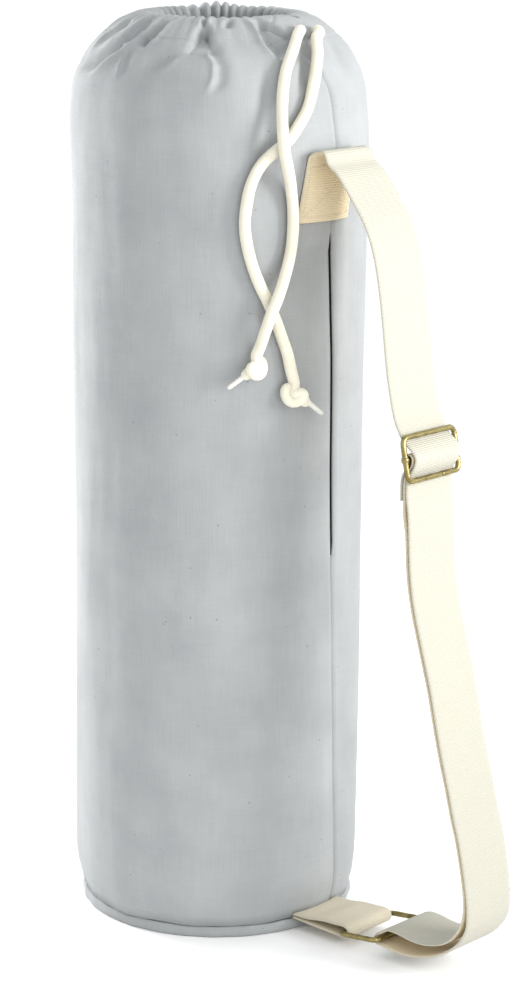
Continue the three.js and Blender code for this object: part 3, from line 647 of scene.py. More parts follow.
@dataclass(frozen=True)
class TipFinish:
    """Cord end bound in clear film: pale, with long creases and a gloss."""

    light: Colour = (0.80, 0.80, 0.74, 1.0)
    dark: Colour = (0.52, 0.50, 0.44, 1.0)

    def build(self, effects: Effects) -> Material:
        """Returns the material."""
        material, board, place = start_material("bound cord end", Coordinates.CLOTH)
        fibres = board.noise(board.stretch(place, (1.0, 0.04, 1.0)), 1500.0)
        cloud = board.group(effects.mottle, Vector=place, Size=0.004)
        streak = board.ramp(fibres, 0.35, 0.65)
        share = board.math("MULTIPLY_ADD", cloud.outputs["Tone"], 0.3, board.math("MULTIPLY", streak, 0.6))
        colour = board.mix(share, self.light, self.dark)
        fixed = {"Coat Weight": 0.7, "Coat Roughness": 0.15}
        end_material(board, colour, 0.35, streak, 0.0002, fixed)
        return material


@dataclass(frozen=True)
class BrassFinish:
    """Antique brass wire: dark in its hollows, bright where it rubs."""

    bright: Colour = (0.52, 0.44, 0.20, 1.0)
    dark: Colour = (0.13, 0.10, 0.035, 1.0)

    def build(self, effects: Effects) -> Material:
        """Returns the material."""
        material, board, place = start_material("antique brass", Coordinates.OBJECT)
        cloud = board.group(effects.mottle, Vector=place, Size=0.006)
        scratch = board.noise(board.stretch(place, (1.0, 0.15, 1.0)), 1600.0, 4.0)
        rub = board.ramp(scratch, 0.4, 0.62)
        share = board.math("MULTIPLY_ADD", cloud.outputs["Tone"], 0.45, board.math("MULTIPLY", rub, 0.35))
        colour = board.mix(share, self.dark, self.bright)
        rough = board.ramp(share, 0.0, 0.8, 0.42, 0.24)
        end_material(board, colour, rough, scratch, 0.00005, {"Metallic": 1.0})
        return material


@dataclass(frozen=True)
class FloorFinish:
    """Plain pale studio floor."""

    tone: Colour = (0.95, 0.95, 0.95, 1.0)

    def build(self, effects: Effects) -> Material:
        """Returns the material."""
        material, board, place = start_material("studio floor", Coordinates.OBJECT)
        grain = board.noise(place, 40.0)
        colour = board.mix(board.ramp(grain, 0.4, 0.6), self.tone, (0.94, 0.94, 0.94, 1.0))
        end_material(board, colour, 0.9, None, 0.0, {"Specular IOR Level": 0.0})
        return material


# Studio


@dataclass
class StudioCamera:
    """The camera of the photograph. Angles in degrees, focal length in pixels of a 1000 pixel side."""

    distance: float = 2.0502
    height: float = 0.8075
    beside: float = 0.0323
    heading: float = 42.0
    pitch: float = 13.844
    roll: float = 0.5495
    focal: float = 2881.0
    long_side: int = 1000

    def place(self) -> SceneObject:
        """Makes the scene's camera and returns it."""
        heading, pitch, roll = (math.radians(value) for value in (self.heading, self.pitch, self.roll))
        right = Vector((math.cos(heading), math.sin(heading), 0.0))
        level = Vector((-math.sin(heading), math.cos(heading), 0.0))
        forward = level * math.cos(pitch) - Vector((0.0, 0.0, math.sin(pitch)))
        up = right.cross(forward)
        side = right * math.cos(roll) + up * math.sin(roll)
        top = up * math.cos(roll) - right * math.sin(roll)
        data = bpy.data.cameras.new("camera")
        data.sensor_width = 36.0
        data.lens = self.focal * data.sensor_width / self.long_side
        data.clip_start = 0.05
        camera = linked("camera", data)
        turn = Matrix((side, top, -forward)).transposed()
        spot = right * self.beside - level * self.distance + Vector((0.0, 0.0, self.height))
        camera.matrix_world = Matrix.Translation(spot) @ turn.to_4x4()
        bpy.context.scene.camera = camera
        return camera


@dataclass(frozen=True)
class SoftPanel:
    """A standing light panel, in metres, watts and degrees.

    heading is its turn from the camera's view, to the right; aim is the height on the axis that it faces.
    """

    name: str
    heading: float
    distance: float
    height: float
    width: float
    length: float
    power: float
    aim: float
    spread: float
    tone: tuple[float, float, float] = (1.0, 1.0, 1.0)


PANELS = (
    SoftPanel("key panel", 66.0, 1.4, 0.8, 0.5, 0.65, 4.7, 0.5, 80.0, (1.0, 0.99, 0.98)),
    SoftPanel("front panel", 28.0, 1.5, 0.6, 0.8, 1.4, 3.5, 0.4, 120.0, (1.0, 0.99, 0.98)),
    SoftPanel("edge panel", 128.0, 1.5, 0.5, 0.4, 1.4, 1.6, 0.4, 110.0),
    SoftPanel("left panel", -130.0, 1.5, 0.5, 0.5, 1.4, 22.0, 0.4, 120.0),
)


@dataclass
class StudioSet:
    """White floor, even bright surroundings and two standing light panels."""

    heading: float = 42.0
    floor_half: float = 60.0
    air: float = 1.1
    air_tone: Colour = (0.985, 1.0, 1.008, 1.0)

    def _panel(self, panel: SoftPanel) -> None:
        """Adds a panel that faces the bag's axis."""
        turn = math.radians(self.heading + panel.heading - 90.0)
        spot = Vector((math.cos(turn), math.sin(turn), 0.0)) * panel.distance + Vector((0.0, 0.0, panel.height))
        data = bpy.data.lights.new(panel.name, "AREA")
        data.shape = "RECTANGLE"
        data.size = panel.width
        data.size_y = panel.length
        data.energy = panel.power
        data.color = panel.tone
        data.spread = math.radians(panel.spread)
        light = linked(panel.name, data)
        aim = Vector((0.0, 0.0, panel.aim)) - spot
        light.matrix_world = Matrix.Translation(spot) @ aim.to_track_quat("-Z", "Y").to_matrix().to_4x4()

    def build(self, effects: Effects) -> None:
        """Adds the floor, the surroundings and the lights."""
        scene = bpy.context.scene
        scene.view_settings.view_transform = "Standard"
        world = bpy.data.worlds.new("studio air")
        world.use_nodes = True
        board = NodeBoard(world.node_tree)
        glow = board.add("ShaderNodeBackground")
        glow.inputs["Color"].default_value = self.air_tone
        glow.inputs["Strength"].default_value = self.air
        result = board.add("ShaderNodeOutputWorld")
        board.feed(result.inputs["Surface"], glow.outputs[0])
        scene.world = world
        half = self.floor_half
        corners = np.array([[-half, -half, 0.0], [half, -half, 0.0], [half, half, 0.0], [-half, half, 0.0]])
        patch = Patch(corners, [(0, 1, 2, 3)], [(0.0, 0.0), (1.0, 0.0), (1.0, 1.0), (0.0, 1.0)])
        floor = patch.to_object("studio_floor", FloorFinish().build(effects))
        for panel in PANELS:
            self._panel(panel)


# Canvas


class Side(Enum):
    """Which side of a crease the cloth sinks on, seen from outside with the mouth up."""

    LEFT = -1
    BOTH = 0
    RIGHT = 1


@dataclass(frozen=True)
class Crease:
    """A fold of the gathered shoulder. Lengths in millimetres.

    line holds (angle in degrees, distance down the cloth from the casing's crest) pairs, from the top down.
    reach is the half width at the top and at the foot, fade the shares of its length where it starts and ends.
    """

    line: tuple[tuple[float, float], ...]
    depth: float
    reach: tuple[float, float]
    side: Side = Side.BOTH
    ridge: float = 0.0
    fade: tuple[float, float] = (0.25, 0.35)

    def push(self, angle: np.ndarray, down: np.ndarray, radius: np.ndarray) -> np.ndarray:
        """Returns how far the cloth moves out, in millimetres.

        Args:
            angle: Angles in degrees.
            down: Distance down the cloth in millimetres.
            radius: Distance from the axis in millimetres.

        Returns:
            The move, negative where the cloth sinks.
        """
        angles, downs = (np.array(part) for part in zip(*self.line))
        share = (down - downs[0]) / (downs[-1] - downs[0])
        middle = np.interp(down, downs, angles)
        lean = radius * np.radians(np.interp(down, downs, np.gradient(angles, downs)))
        across = radius * np.radians(turn_between(angle, middle)) / np.sqrt(1.0 + lean**2)
        window = smooth(share / self.fade[0]) * smooth((1.0 - share) / self.fade[1])
        reach = self.reach[0] + (self.reach[1] - self.reach[0]) * np.clip(share, 0.0, 1.0)
        away = across / reach
        if self.side is Side.BOTH:
            shape = np.exp(-(away**2))
        else:
            held = np.maximum(away * self.side.value, 0.0)
            shape = held * np.exp((1.0 - held**2) / 2)
        crest = self.ridge * np.exp(-((away / 0.45) ** 2))
        return window * (crest - self.depth * shape)


CREASES = (
    # The deep dart at the front and the bunch above it.
    Crease(((-56.9, 11.5), (-56.5, 30), (-56.7, 44)), 15.0, (2.4, 6.6), Side.BOTH, 0.0, (0.35, 0.13)),
    Crease(((-60.6, 4), (-60.4, 16)), -1.8, (1.4, 1.6), Side.BOTH, 0.0, (0.4, 0.4)),
    Crease(((-55.2, 4), (-55.0, 16)), -1.8, (1.4, 1.6), Side.BOTH, 0.0, (0.4, 0.4)),
    Crease(((-57.9, 4), (-57.9, 15)), 2.6, (1.2, 1.6), Side.BOTH, 0.0, (0.3, 0.3)),
    Crease(((-53.6, 30), (-53, 44), (-50.3, 51), (-50.2, 61), (-53, 74)), 2.6, (4, 5), Side.RIGHT, 1.5, (0.2, 0.25)),
    Crease(((-64, 42), (-68, 50), (-74, 62)), 2.4, (5, 8), Side.LEFT, 0.8, (0.3, 0.5)),
    # Long pleats that run to the left.
    Crease(((-119, 10), (-124, 22), (-128, 34), (-130, 52)), 2.6, (5, 8), Side.RIGHT, 1.0, (0.25, 0.4)),
    Crease(
        ((-90, 5), (-90.2, 24), (-93.2, 35), (-97, 44), (-104, 55), (-111, 67)),
        7.5,
        (6.5, 12.5),
        Side.LEFT,
        2.4,
        (0.2, 0.22),
    ),
    Crease(((-79.2, 9), (-79.5, 19), (-80.8, 30), (-84, 39)), 5.0, (4, 5.5), Side.LEFT, 1.6, (0.25, 0.25)),
    Crease(((-88.5, 27), (-85, 40)), 3.0, (1.8, 2.2), Side.BOTH, 0.0, (0.3, 0.3)),
    Crease(((-100.5, 1), (-99.5, 15)), 2.6, (1.8, 2.4), Side.BOTH, 0.6, (0.3, 0.4)),
    Crease(((-94.7, 40), (-93.2, 52), (-92.2, 66)), 1.8, (3, 4), Side.RIGHT, 1.1, (0.3, 0.4)),
    Crease(((-73, 36), (-80, 58), (-82, 80)), 1.6, (7, 10), Side.BOTH, 0.0, (0.3, 0.5)),
    # The dart and the pleat left of the casing's flap, and the flap's edge.
    Crease(((-42, 5), (-44.5, 19)), 3.2, (2.2, 3.0), Side.BOTH, 0.0, (0.3, 0.4)),
    Crease(
        ((-32, 4), (-29, 15), (-27.8, 25), (-27.6, 33), (-25, 42), (-21, 52)),
        6.0,
        (5, 7.5),
        Side.RIGHT,
        2.0,
        (0.25, 0.2),
    ),
    Crease(((-28.6, 47), (-29.2, 66), (-29.5, 84), (-30, 150)), 4.2, (6, 9), Side.BOTH, 0.0, (0.25, 0.5)),
    Crease(
        ((-24.5, 0), (-21, 13.5), (-17.4, 17.5), (-14.8, 25), (-10.2, 31)),
        4.6,
        (1.7, 1.6),
        Side.BOTH,
        0,
        (0.4, 0.1),
    ),
    Crease(((-20, 8), (-14.5, 18), (-11.5, 25), (-7, 31)), -1.8, (4, 5), Side.BOTH, 0.0, (0.4, 0.2)),
    Crease(((-4.4, -3), (-11, 7.5), (-17.7, 15)), 1.0, (0.8, 0.8), Side.BOTH, 0.0, (0.1, 0.1)),
    # Folds between and beside the cords.
    Crease(((-3, 31), (-6.5, 43), (-10, 56), (-14.8, 74)), 4.6, (4.5, 6.5), Side.BOTH, 0.0, (0.25, 0.4)),
    Crease(((3.5, 27), (2.5, 38)), 2.4, (3.5, 4.0), Side.BOTH, 0.0, (0.3, 0.5)),
    Crease(((17, 30), (13, 50), (12, 66)), 1.6, (5, 7), Side.BOTH, 0.0, (0.3, 0.5)),
    # Folds of the sides and the back.
    Crease(((38, 6), (36, 30), (33, 62)), 3.2, (5, 8), Side.RIGHT, 1.2),
    Crease(((62, 5), (60, 28), (57, 74)), 5.2, (5, 9), Side.LEFT, 1.6),
    Crease(((86, 5), (88, 25), (91, 66)), 5.6, (5, 9), Side.RIGHT, 1.6),
    Crease(((112, 6), (111, 34), (109, 90)), 7.0, (5, 10), Side.BOTH, 1.2),
    Crease(((139, 6), (141, 30), (144, 70)), 5.6, (5, 9), Side.LEFT, 1.8),
    Crease(((166, 5), (164, 32), (162, 84)), 6.6, (5, 10), Side.RIGHT, 1.8),
    Crease(((193, 5), (195, 30), (198, 72)), 5.6, (5, 9), Side.BOTH, 1.2),
    Crease(((216, 6), (215, 28), (213, 80)), 6.4, (5, 9), Side.LEFT, 1.6),
)


@dataclass(frozen=True)
class Hole:
    """A small hole in the casing, its centre as (angle, distance down the cloth), half sizes in millimetres."""

    angle: float
    down: float
    half_length: float
    half_width: float
    slant: float
    depth: float
    lip: float

    def push(self, angle: np.ndarray, down: np.ndarray, radius: np.ndarray) -> np.ndarray:
        """Returns how far the cloth moves out, in millimetres, at the given places."""
        side = radius * np.radians(turn_between(angle, np.full_like(angle, self.angle)))
        slope = down - self.down
        turn = math.radians(self.slant)
        along = (slope * math.cos(turn) + side * math.sin(turn)) / self.half_length
        across = (side * math.cos(turn) - slope * math.sin(turn)) / self.half_width
        out = np.sqrt(along**2 + across**2)
        near = (np.abs(side) < 30) & (np.abs(slope) < 30)
        pit = smooth((1.12 - out) / 0.32)
        rim = np.exp(-(((out - 1.35) / 0.3) ** 2))
        return np.where(near, self.lip * rim - self.depth * pit, 0.0)


@dataclass
class CanvasTube:
    """The gathered canvas body, one thick sheet from the base seam over the casing and back inside."""

    diameter: float = 210.0
    height: float = 656.0
    dome_height: float = 64.0
    wall: float = 1.7
    foot: float = 8.5
    ring_diameter: float = 108.0
    cord_diameter: float = 8.0
    columns: int = 448
    slit_bottom: float = 271.0
    slit_top: float = 510.0
    slit_width: float = 1.7
    seam_line: tuple[tuple[float, float], ...] = (
        (8, 9.2),
        (52, 8.6),
        (130, 6.9),
        (207, 4.9),
        (271, 3.4),
        (345, 1.9),
        (427, 0.9),
        (498, -0.9),
        (540, 1.2),
        (571, 2.6),
        (595, 0.3),
        (612, -1.4),
        (627, -4.0),
        (660, -9.0),
    )
    holes: tuple[Hole, ...] = (
        Hole(8.6, 2.6, 6.3, 2.2, 41.0, 9.0, 0.4),
        Hole(-1.5, 24.6, 4.6, 3.9, 0.0, 3.2, 0.5),
        Hole(11.0, 26.4, 4.6, 3.9, 0.0, 3.2, 0.5),
    )
    outer: np.ndarray = field(init=False)
    down: np.ndarray = field(init=False)
    seat: dict[str, int] = field(init=False, default_factory=dict)

    def _section(self) -> tuple[np.ndarray, np.ndarray]:
        """Returns the section as (radius, height) in millimetres, and each row's distance down from the crest."""
        radius, ring = self.diameter / 2, self.ring_diameter / 2
        shoulder = self.height - self.dome_height
        level = self.height - self.cord_diameter
        wall = [(radius * out, self.foot + (shoulder - self.foot) * rise) for rise, out in WALL_ROWS]
        dome = [(radius * out, shoulder + rise * self.dome_height) for rise, out in DOME_ROWS]
        casing = [(ring + out * self.cord_diameter, level + up * self.cord_diameter) for out, up in CASING_ROWS]
        fine = smooth_line(np.array(wall + dome + casing), 0.25)
        along = arc_lengths(fine)
        dome_start = float(np.interp(shoulder - 26, fine[: len(fine) // 2, 1], along[: len(fine) // 2]))
        wanted = np.concatenate([np.arange(0.0, dome_start, 9.0), np.arange(dome_start, along[-1], 1.45)])
        rows = np.stack([np.interp(wanted, along, fine[:, axis]) for axis in (0, 1)], axis=1)
        crest = int(np.argmax(rows[:, 1]))
        return rows, np.abs(wanted - wanted[crest]) * np.where(np.arange(len(wanted)) <= crest, 1.0, -1.0)

    def _seam(self, height: np.ndarray) -> np.ndarray:
        """Returns the side seam's angle at heights in millimetres."""
        heights, angles = (np.array(part, dtype=float) for part in zip(*self.seam_line))
        return np.interp(height, heights, angles)

    def _relief(self, angle: np.ndarray, down: np.ndarray, radius: np.ndarray, height: np.ndarray) -> np.ndarray:
        """Returns how far the cloth lies outside its plain section, in millimetres."""
        out = np.zeros_like(angle)
        for crease in CREASES:
            out += crease.push(angle, down, radius)
        for hole in self.holes:
            out += hole.push(angle, down, radius)
        for place, share, depth, spread, reach in DENTS:
            across = turn_between(angle, np.full_like(angle, place)) / spread
            along = (height - share * self.height) / (reach * self.diameter / 2)
            out -= depth * self.diameter / 2 * np.exp(-(across**2) - along**2)
        slow = SoftWaves(11, 26, (3, 13), 26.0).at(angle, height * MM)
        fine = SoftWaves(5, 30, (16, 44), 60.0).at(angle, height * MM)
        out += smooth((down + 4) / 60.0) * (SLOW_WAVE * slow + FINE_WAVE * fine)
        out -= FOOT_TUCK * smooth(1.0 - (height - self.foot) / FOOT_REACH) * (down > DOME_DOWN)
        out += self._ruffles(angle, down)
        out -= 0.5 * hump(down, HEM_DOWN, 1.1)
        seam = radius * np.radians(turn_between(angle, self._seam(height)))
        held = smooth((down - SEAM_START) / 8.0)
        for place, width, rise in SEAM_PROFILE:
            out += rise * held * hump(seam, place, width)
        in_slit = smooth((height - self.slit_bottom) / 12.0) * smooth((self.slit_top - height) / 12.0)
        out -= 3.4 * in_slit * hump(seam, -17.0, 13.0) * smooth((height - 400) / 60.0)
        for place, width, rise in SLIT_PROFILE:
            out += rise * in_slit * hump(seam, place, width)
        return out

    def _ruffles(self, angle: np.ndarray, down: np.ndarray) -> np.ndarray:
        """Returns the ruffles of the casing, round crests with sharp valleys, in millimetres."""
        shift = SoftWaves(23, 9, (2, 9), 0.0).at(angle, np.zeros_like(angle))
        size = 1.0 + 0.28 * SoftWaves(31, 9, (3, 12), 0.0).at(angle, np.zeros_like(angle))
        wave = np.abs(np.sin(np.radians(angle * RUFFLE_COUNT / 2) + shift * 0.55)) ** 0.8
        centred = (angle - FLAT_MIDDLE + 180.0) % 360.0 - 180.0
        flat = smooth(1.0 - (np.abs(centred) - FLAT_HALF) / 9.0)
        front = smooth(1.0 - (np.abs(turn_between(angle, np.full_like(angle, PLEAT_MIDDLE))) - PLEAT_HALF) / 26.0)
        inside = smooth(-down / 5.0 + 0.4)
        outside = smooth(1.0 - down / 48.0) * (1.0 - 0.72 * front)
        strength = np.where(down < 2.0, np.maximum(inside, outside), outside)
        deep = smooth((down + 46.0) / 10.0)
        return strength * deep * size * (1.0 - 0.93 * flat) * (RUFFLE_RISE * wave - RUFFLE_DROP)

    def _lift(self, angle: np.ndarray, down: np.ndarray) -> np.ndarray:
        """Returns how far the casing rises above its level ring, in millimetres."""
        lift = np.zeros_like(angle)
        for place, rise, spread in CASING_RISES:
            across = turn_between(angle, np.full_like(angle, place)) / spread
            lift += rise * self.cord_diameter * hump(across, 0.0, 1.0)
        return lift * smooth(1.0 - (down - 6.0) / 22.0) * smooth((down + 44.0) / 16.0)

    def build(self, material: Material) -> SceneObject:
        """Makes the body and returns it, with the places of its rows kept for the stitches."""
        rows, down = self._section()
        step = 360.0 / self.columns
        middle = self.columns // 2 + 1
        base = (np.arange(self.columns) - middle) * step
        seam = self._seam(rows[:, 1])
        pull = np.exp(-((base / 32.0) ** 2))
        angle = base[None, :] + seam[:, None] * pull[None, :]
        gap = math.degrees(self.slit_width / self.diameter)
        inside = (rows[:, 1] > self.slit_bottom) & (rows[:, 1] < self.slit_top) & (down > 40)
        taper = smooth((rows[:, 1] - self.slit_bottom) / 14.0) * smooth((self.slit_top - rows[:, 1]) / 10.0)
        half = np.where(inside, gap * (0.35 + 0.65 * taper), gap * 0.35)
        for column, hand in ((middle - 1, -1.0), (middle + 1, 1.0)):
            angle[:, column] = seam + hand * half
        tangent = np.gradient(rows, axis=0)
        normal = np.stack([tangent[:, 1], -tangent[:, 0]], axis=1)
        normal /= np.linalg.norm(normal, axis=1, keepdims=True)
        radius = np.broadcast_to(rows[:, :1], angle.shape)
        height = np.broadcast_to(rows[:, 1:], angle.shape)
        depth = np.broadcast_to(down[:, None], angle.shape)
        push = self._relief(angle, depth, radius, height)
        reach = (radius + normal[:, :1] * push) * MM
        rise = (height + normal[:, 1:] * push + self._lift(angle, depth)) * MM
        turn = np.radians(angle)
        outer = np.stack([reach * np.cos(turn), reach * np.sin(turn), rise], axis=2)
        self.outer, self.down = outer, down
        open_rows = np.nonzero(inside)[0]
        self.seat = {"middle": middle, "slit_low": int(open_rows[0]), "slit_high": int(open_rows[-1])}
        return self._shell(outer, down, rows, middle, open_rows, step).to_object("canvas_body", material)

    def _shell(
        self,
        outer: np.ndarray,
        down: np.ndarray,
        rows: np.ndarray,
        middle: int,
        open_rows: np.ndarray,
        step: float,
    ) -> Patch:
        """Closes the outer cloth with an inner face at half the columns.

        Args:
            outer: The outer cloth's grid.
            down: Each row's distance from the crest in millimetres.
            rows: Each row's plain radius and height in millimetres.
            middle: The column of the side seam.
            open_rows: The rows that the slit crosses.
            step: Degrees between columns.

        Returns:
            The closed sheet.
        """
        count = self.columns
        around = np.roll(outer, -1, axis=1) - np.roll(outer, 1, axis=1)
        along = np.gradient(outer, axis=0)
        normals = unit(np.cross(around, along))
        last = int(np.argmax(down < 41.0))
        kept = [row for row in range(last) if row <= open_rows[-1] + 2 or row % 3 == 0][::-1]
        inner = (outer - normals * self.wall * MM)[kept][:, ::2]
        half = count // 2
        wide = np.arange(count + 1) * math.radians(step) * self.diameter / 2 * MM
        height = arc_lengths(rows) * MM
        skip = np.zeros((len(rows) - 1, count), dtype=bool)
        skip[open_rows[0] : open_rows[-1], middle - 1 : middle + 1] = True
        cell = (middle - 1) // 2
        inner_skip = np.zeros((len(kept) - 1, half), dtype=bool)
        place = {row: index for index, row in enumerate(kept)}
        inner_skip[place[int(open_rows[-1])] : place[int(open_rows[0])], cell] = True
        shell = grid_patch(outer, wide, height, True, skip)
        shell = shell.add(grid_patch(inner, wide[::2], height[kept], True, inner_skip))
        start = len(rows) * count
        for outer_row, inner_row in ((len(rows) - 1, 0), (0, len(kept) - 1)):
            for index in range(half):
                a, b, c = (outer_row * count + (2 * index + extra) % count for extra in range(3))
                d, e = (start + inner_row * half + (index + extra) % half for extra in range(2))
                shell.faces.extend([(a, b, d), (b, e, d), (b, c, e)])
                u, v = wide[2 * index], height[outer_row]
                shell.corners.extend([(u, v)] * 9)
        for edge, inner_edge in ((middle - 1, cell), (middle + 1, cell + 1)):
            for row in range(open_rows[0], open_rows[-1]):
                a, b = row * count + edge, (row + 1) * count + edge
                c = start + place[row + 1] * half + inner_edge
                d = start + place[row] * half + inner_edge
                shell.faces.append((a, b, c, d))
                shell.corners.extend((wide[edge], height[r]) for r in (row, row + 1, row + 1, row))
        for row in (int(open_rows[0]), int(open_rows[-1])):
            a, b, c = (row * count + middle + extra for extra in (-1, 0, 1))
            d = start + place[row] * half + cell
            shell.faces.extend([(a, b, d), (b, d + 1, d), (b, c, d + 1)])
            shell.corners.extend([(wide[middle], height[row])] * 9)
        return shell


# Places down the cloth from the crest, in millimetres: the casing's hem, where the seam shows, the dome's foot
HEM_DOWN = 31.0
HEM_STITCHES_ABOVE = 2.4
SEAM_START = 40.0
DOME_DOWN = 60.0
# How far the wall tucks in at its foot and over which height, in millimetres
FOOT_TUCK = 1.3
FOOT_REACH = 20.0
# Rise of the wall's slow and fine waves in millimetres
SLOW_WAVE = 0.42
FINE_WAVE = 0.07
# Grooves and rolls beside the seam and the slit: place across, width and rise in millimetres
SEAM_PROFILE = ((0.0, 0.6, -1.9), (-4.0, 2.6, 0.3))
SLIT_PROFILE = ((4.5, 3.0, 0.9), (-2.5, 3.0, -0.5))
# Ruffles round the casing, and the middle and half width in degrees of its flat front
RUFFLE_COUNT = 45
RUFFLE_RISE = 3.7
RUFFLE_DROP = 3.1
FLAT_MIDDLE = 10.0
FLAT_HALF = 30.0
# Middle and half width in degrees of the long pleats, where the ruffles are weaker
PLEAT_MIDDLE = -62.0
PLEAT_HALF = 46.0

# (rise as a share of the straight wall, out as a share of the radius)
WALL_ROWS = (
    (0, 0.962),
    (0.012, 0.972),
    (0.03, 0.988),
    (0.05, 0.998),
    (0.09, 1),
    (0.24, 1),
    (0.4, 1),
    (0.56, 1),
    (0.72, 1),
    (0.86, 1),
)
# (rise as a share of the dome's height, out as a share of the radius)
DOME_ROWS = ((0, 1), (0.19, 0.995), (0.36, 0.966), (0.55, 0.9), (0.71, 0.815), (0.85, 0.716))
# (out, up) from the hidden cord's centre line, in cord diameters
CASING_ROWS = (
    (1.55, 0.53),
    (0.55, 0.93),
    (-0.22, 1.0),
    (-0.76, 0.76),
    (-1.0, 0.26),
    (-0.97, -0.36),
    (-0.7, -0.8),
    (-0.1, -0.97),
    (0.7, -0.92),
    (1.6, -0.95),
    (2.6, -1.18),
    (3.25, -1.42),
)
# Rises of the casing: angle, rise in cord diameters, spread in degrees
CASING_RISES = ((136, 0.35, 13), (-8, 0.1, 14))
# Hollows of the wall: angle, share of the height, depth as a share of the radius, spread in degrees,
# reach as a share of the radius
DENTS = (
    (-138, 0.878, -0.02, 16, 0.32),
    (42, 0.925, 0.024, 14, 0.22),
    (-76, 0.65, 0.014, 20, 0.6),
    (-52, 0.47, 0.010, 18, 0.7),
    (-92, 0.28, 0.012, 22, 0.7),
    (-38, 0.20, 0.012, 18, 0.6),
    (-108, 0.55, -0.008, 16, 0.8),
    (70, 0.60, 0.013, 22, 0.8),
    (120, 0.35, 0.014, 24, 0.9),
    (165, 0.70, 0.012, 20, 0.7),
    (205, 0.45, 0.013, 22, 0.8),
)


@dataclass
class BasePanel:
    """The round base: a flat floor and a narrow band with a soft edge."""

    diameter: float = 199.0
    band: float = 8.2
    floor: float = 2.2
    band_wall: float = 3.0
    overhang: float = 1.0
    ripple: float = 0.16
    ripple_up: float = 0.12
    columns: int = 360

    def build(self, material: Material) -> SceneObject:
        """Makes the base and returns it."""
        radius = self.diameter / 2
        rim = radius + self.overhang
        profile = [(0.4, 0.0), (30, 0.0), (60, 0.0), (90, 0.0), (rim - 3.0, 0.0), (rim - 1.6, 0.1)]
        profile += [(rim - 0.5, 0.8), (rim - 0.05, 2.0), (rim + 0.15, 3.6), (rim + 0.1, 5.2), (rim - 0.25, 6.6)]
        profile += [(rim - 0.9, 7.6), (rim - 1.7, self.band), (rim - self.band_wall, self.band - 0.3)]
        profile += [(rim - self.band_wall, self.floor + 1), (rim - self.band_wall - 1, self.floor)]
        profile += [(90, self.floor), (60, self.floor), (30, self.floor), (0.4, self.floor)]
        rows = np.array(profile)
        turn = np.arange(self.columns) * 2 * math.pi / self.columns
        wave = SoftWaves(41, 14, (5, 34), 0.0).at(np.degrees(turn), np.zeros(self.columns))
        edge = smooth((rows[:, 0] - 92.0) / 6.0)
        reach = (rows[:, :1] + self.ripple * wave[None, :] * edge[:, None]) * MM
        lift = np.where(rows[:, 1] > 2.5, 1.0, 0.0)[:, None] * self.ripple_up * np.roll(wave, 31)[None, :]
        height = (rows[:, 1:] + lift * edge[:, None]) * MM
        points = np.stack([reach * np.cos(turn), reach * np.sin(turn), height + np.zeros_like(reach)], axis=2)
        across = np.arange(self.columns + 1) * 2 * math.pi / self.columns * radius * MM
        patch = grid_patch(points, across, arc_lengths(rows) * MM, True)
        last = (len(rows) - 1) * self.columns
        patch.faces.extend([tuple(range(self.columns))[::-1], tuple(range(last, last + self.columns))])
        patch.corners.extend([(0.0, 0.0)] * (2 * self.columns))
        return patch.to_object("canvas_base", material)


# Webbing


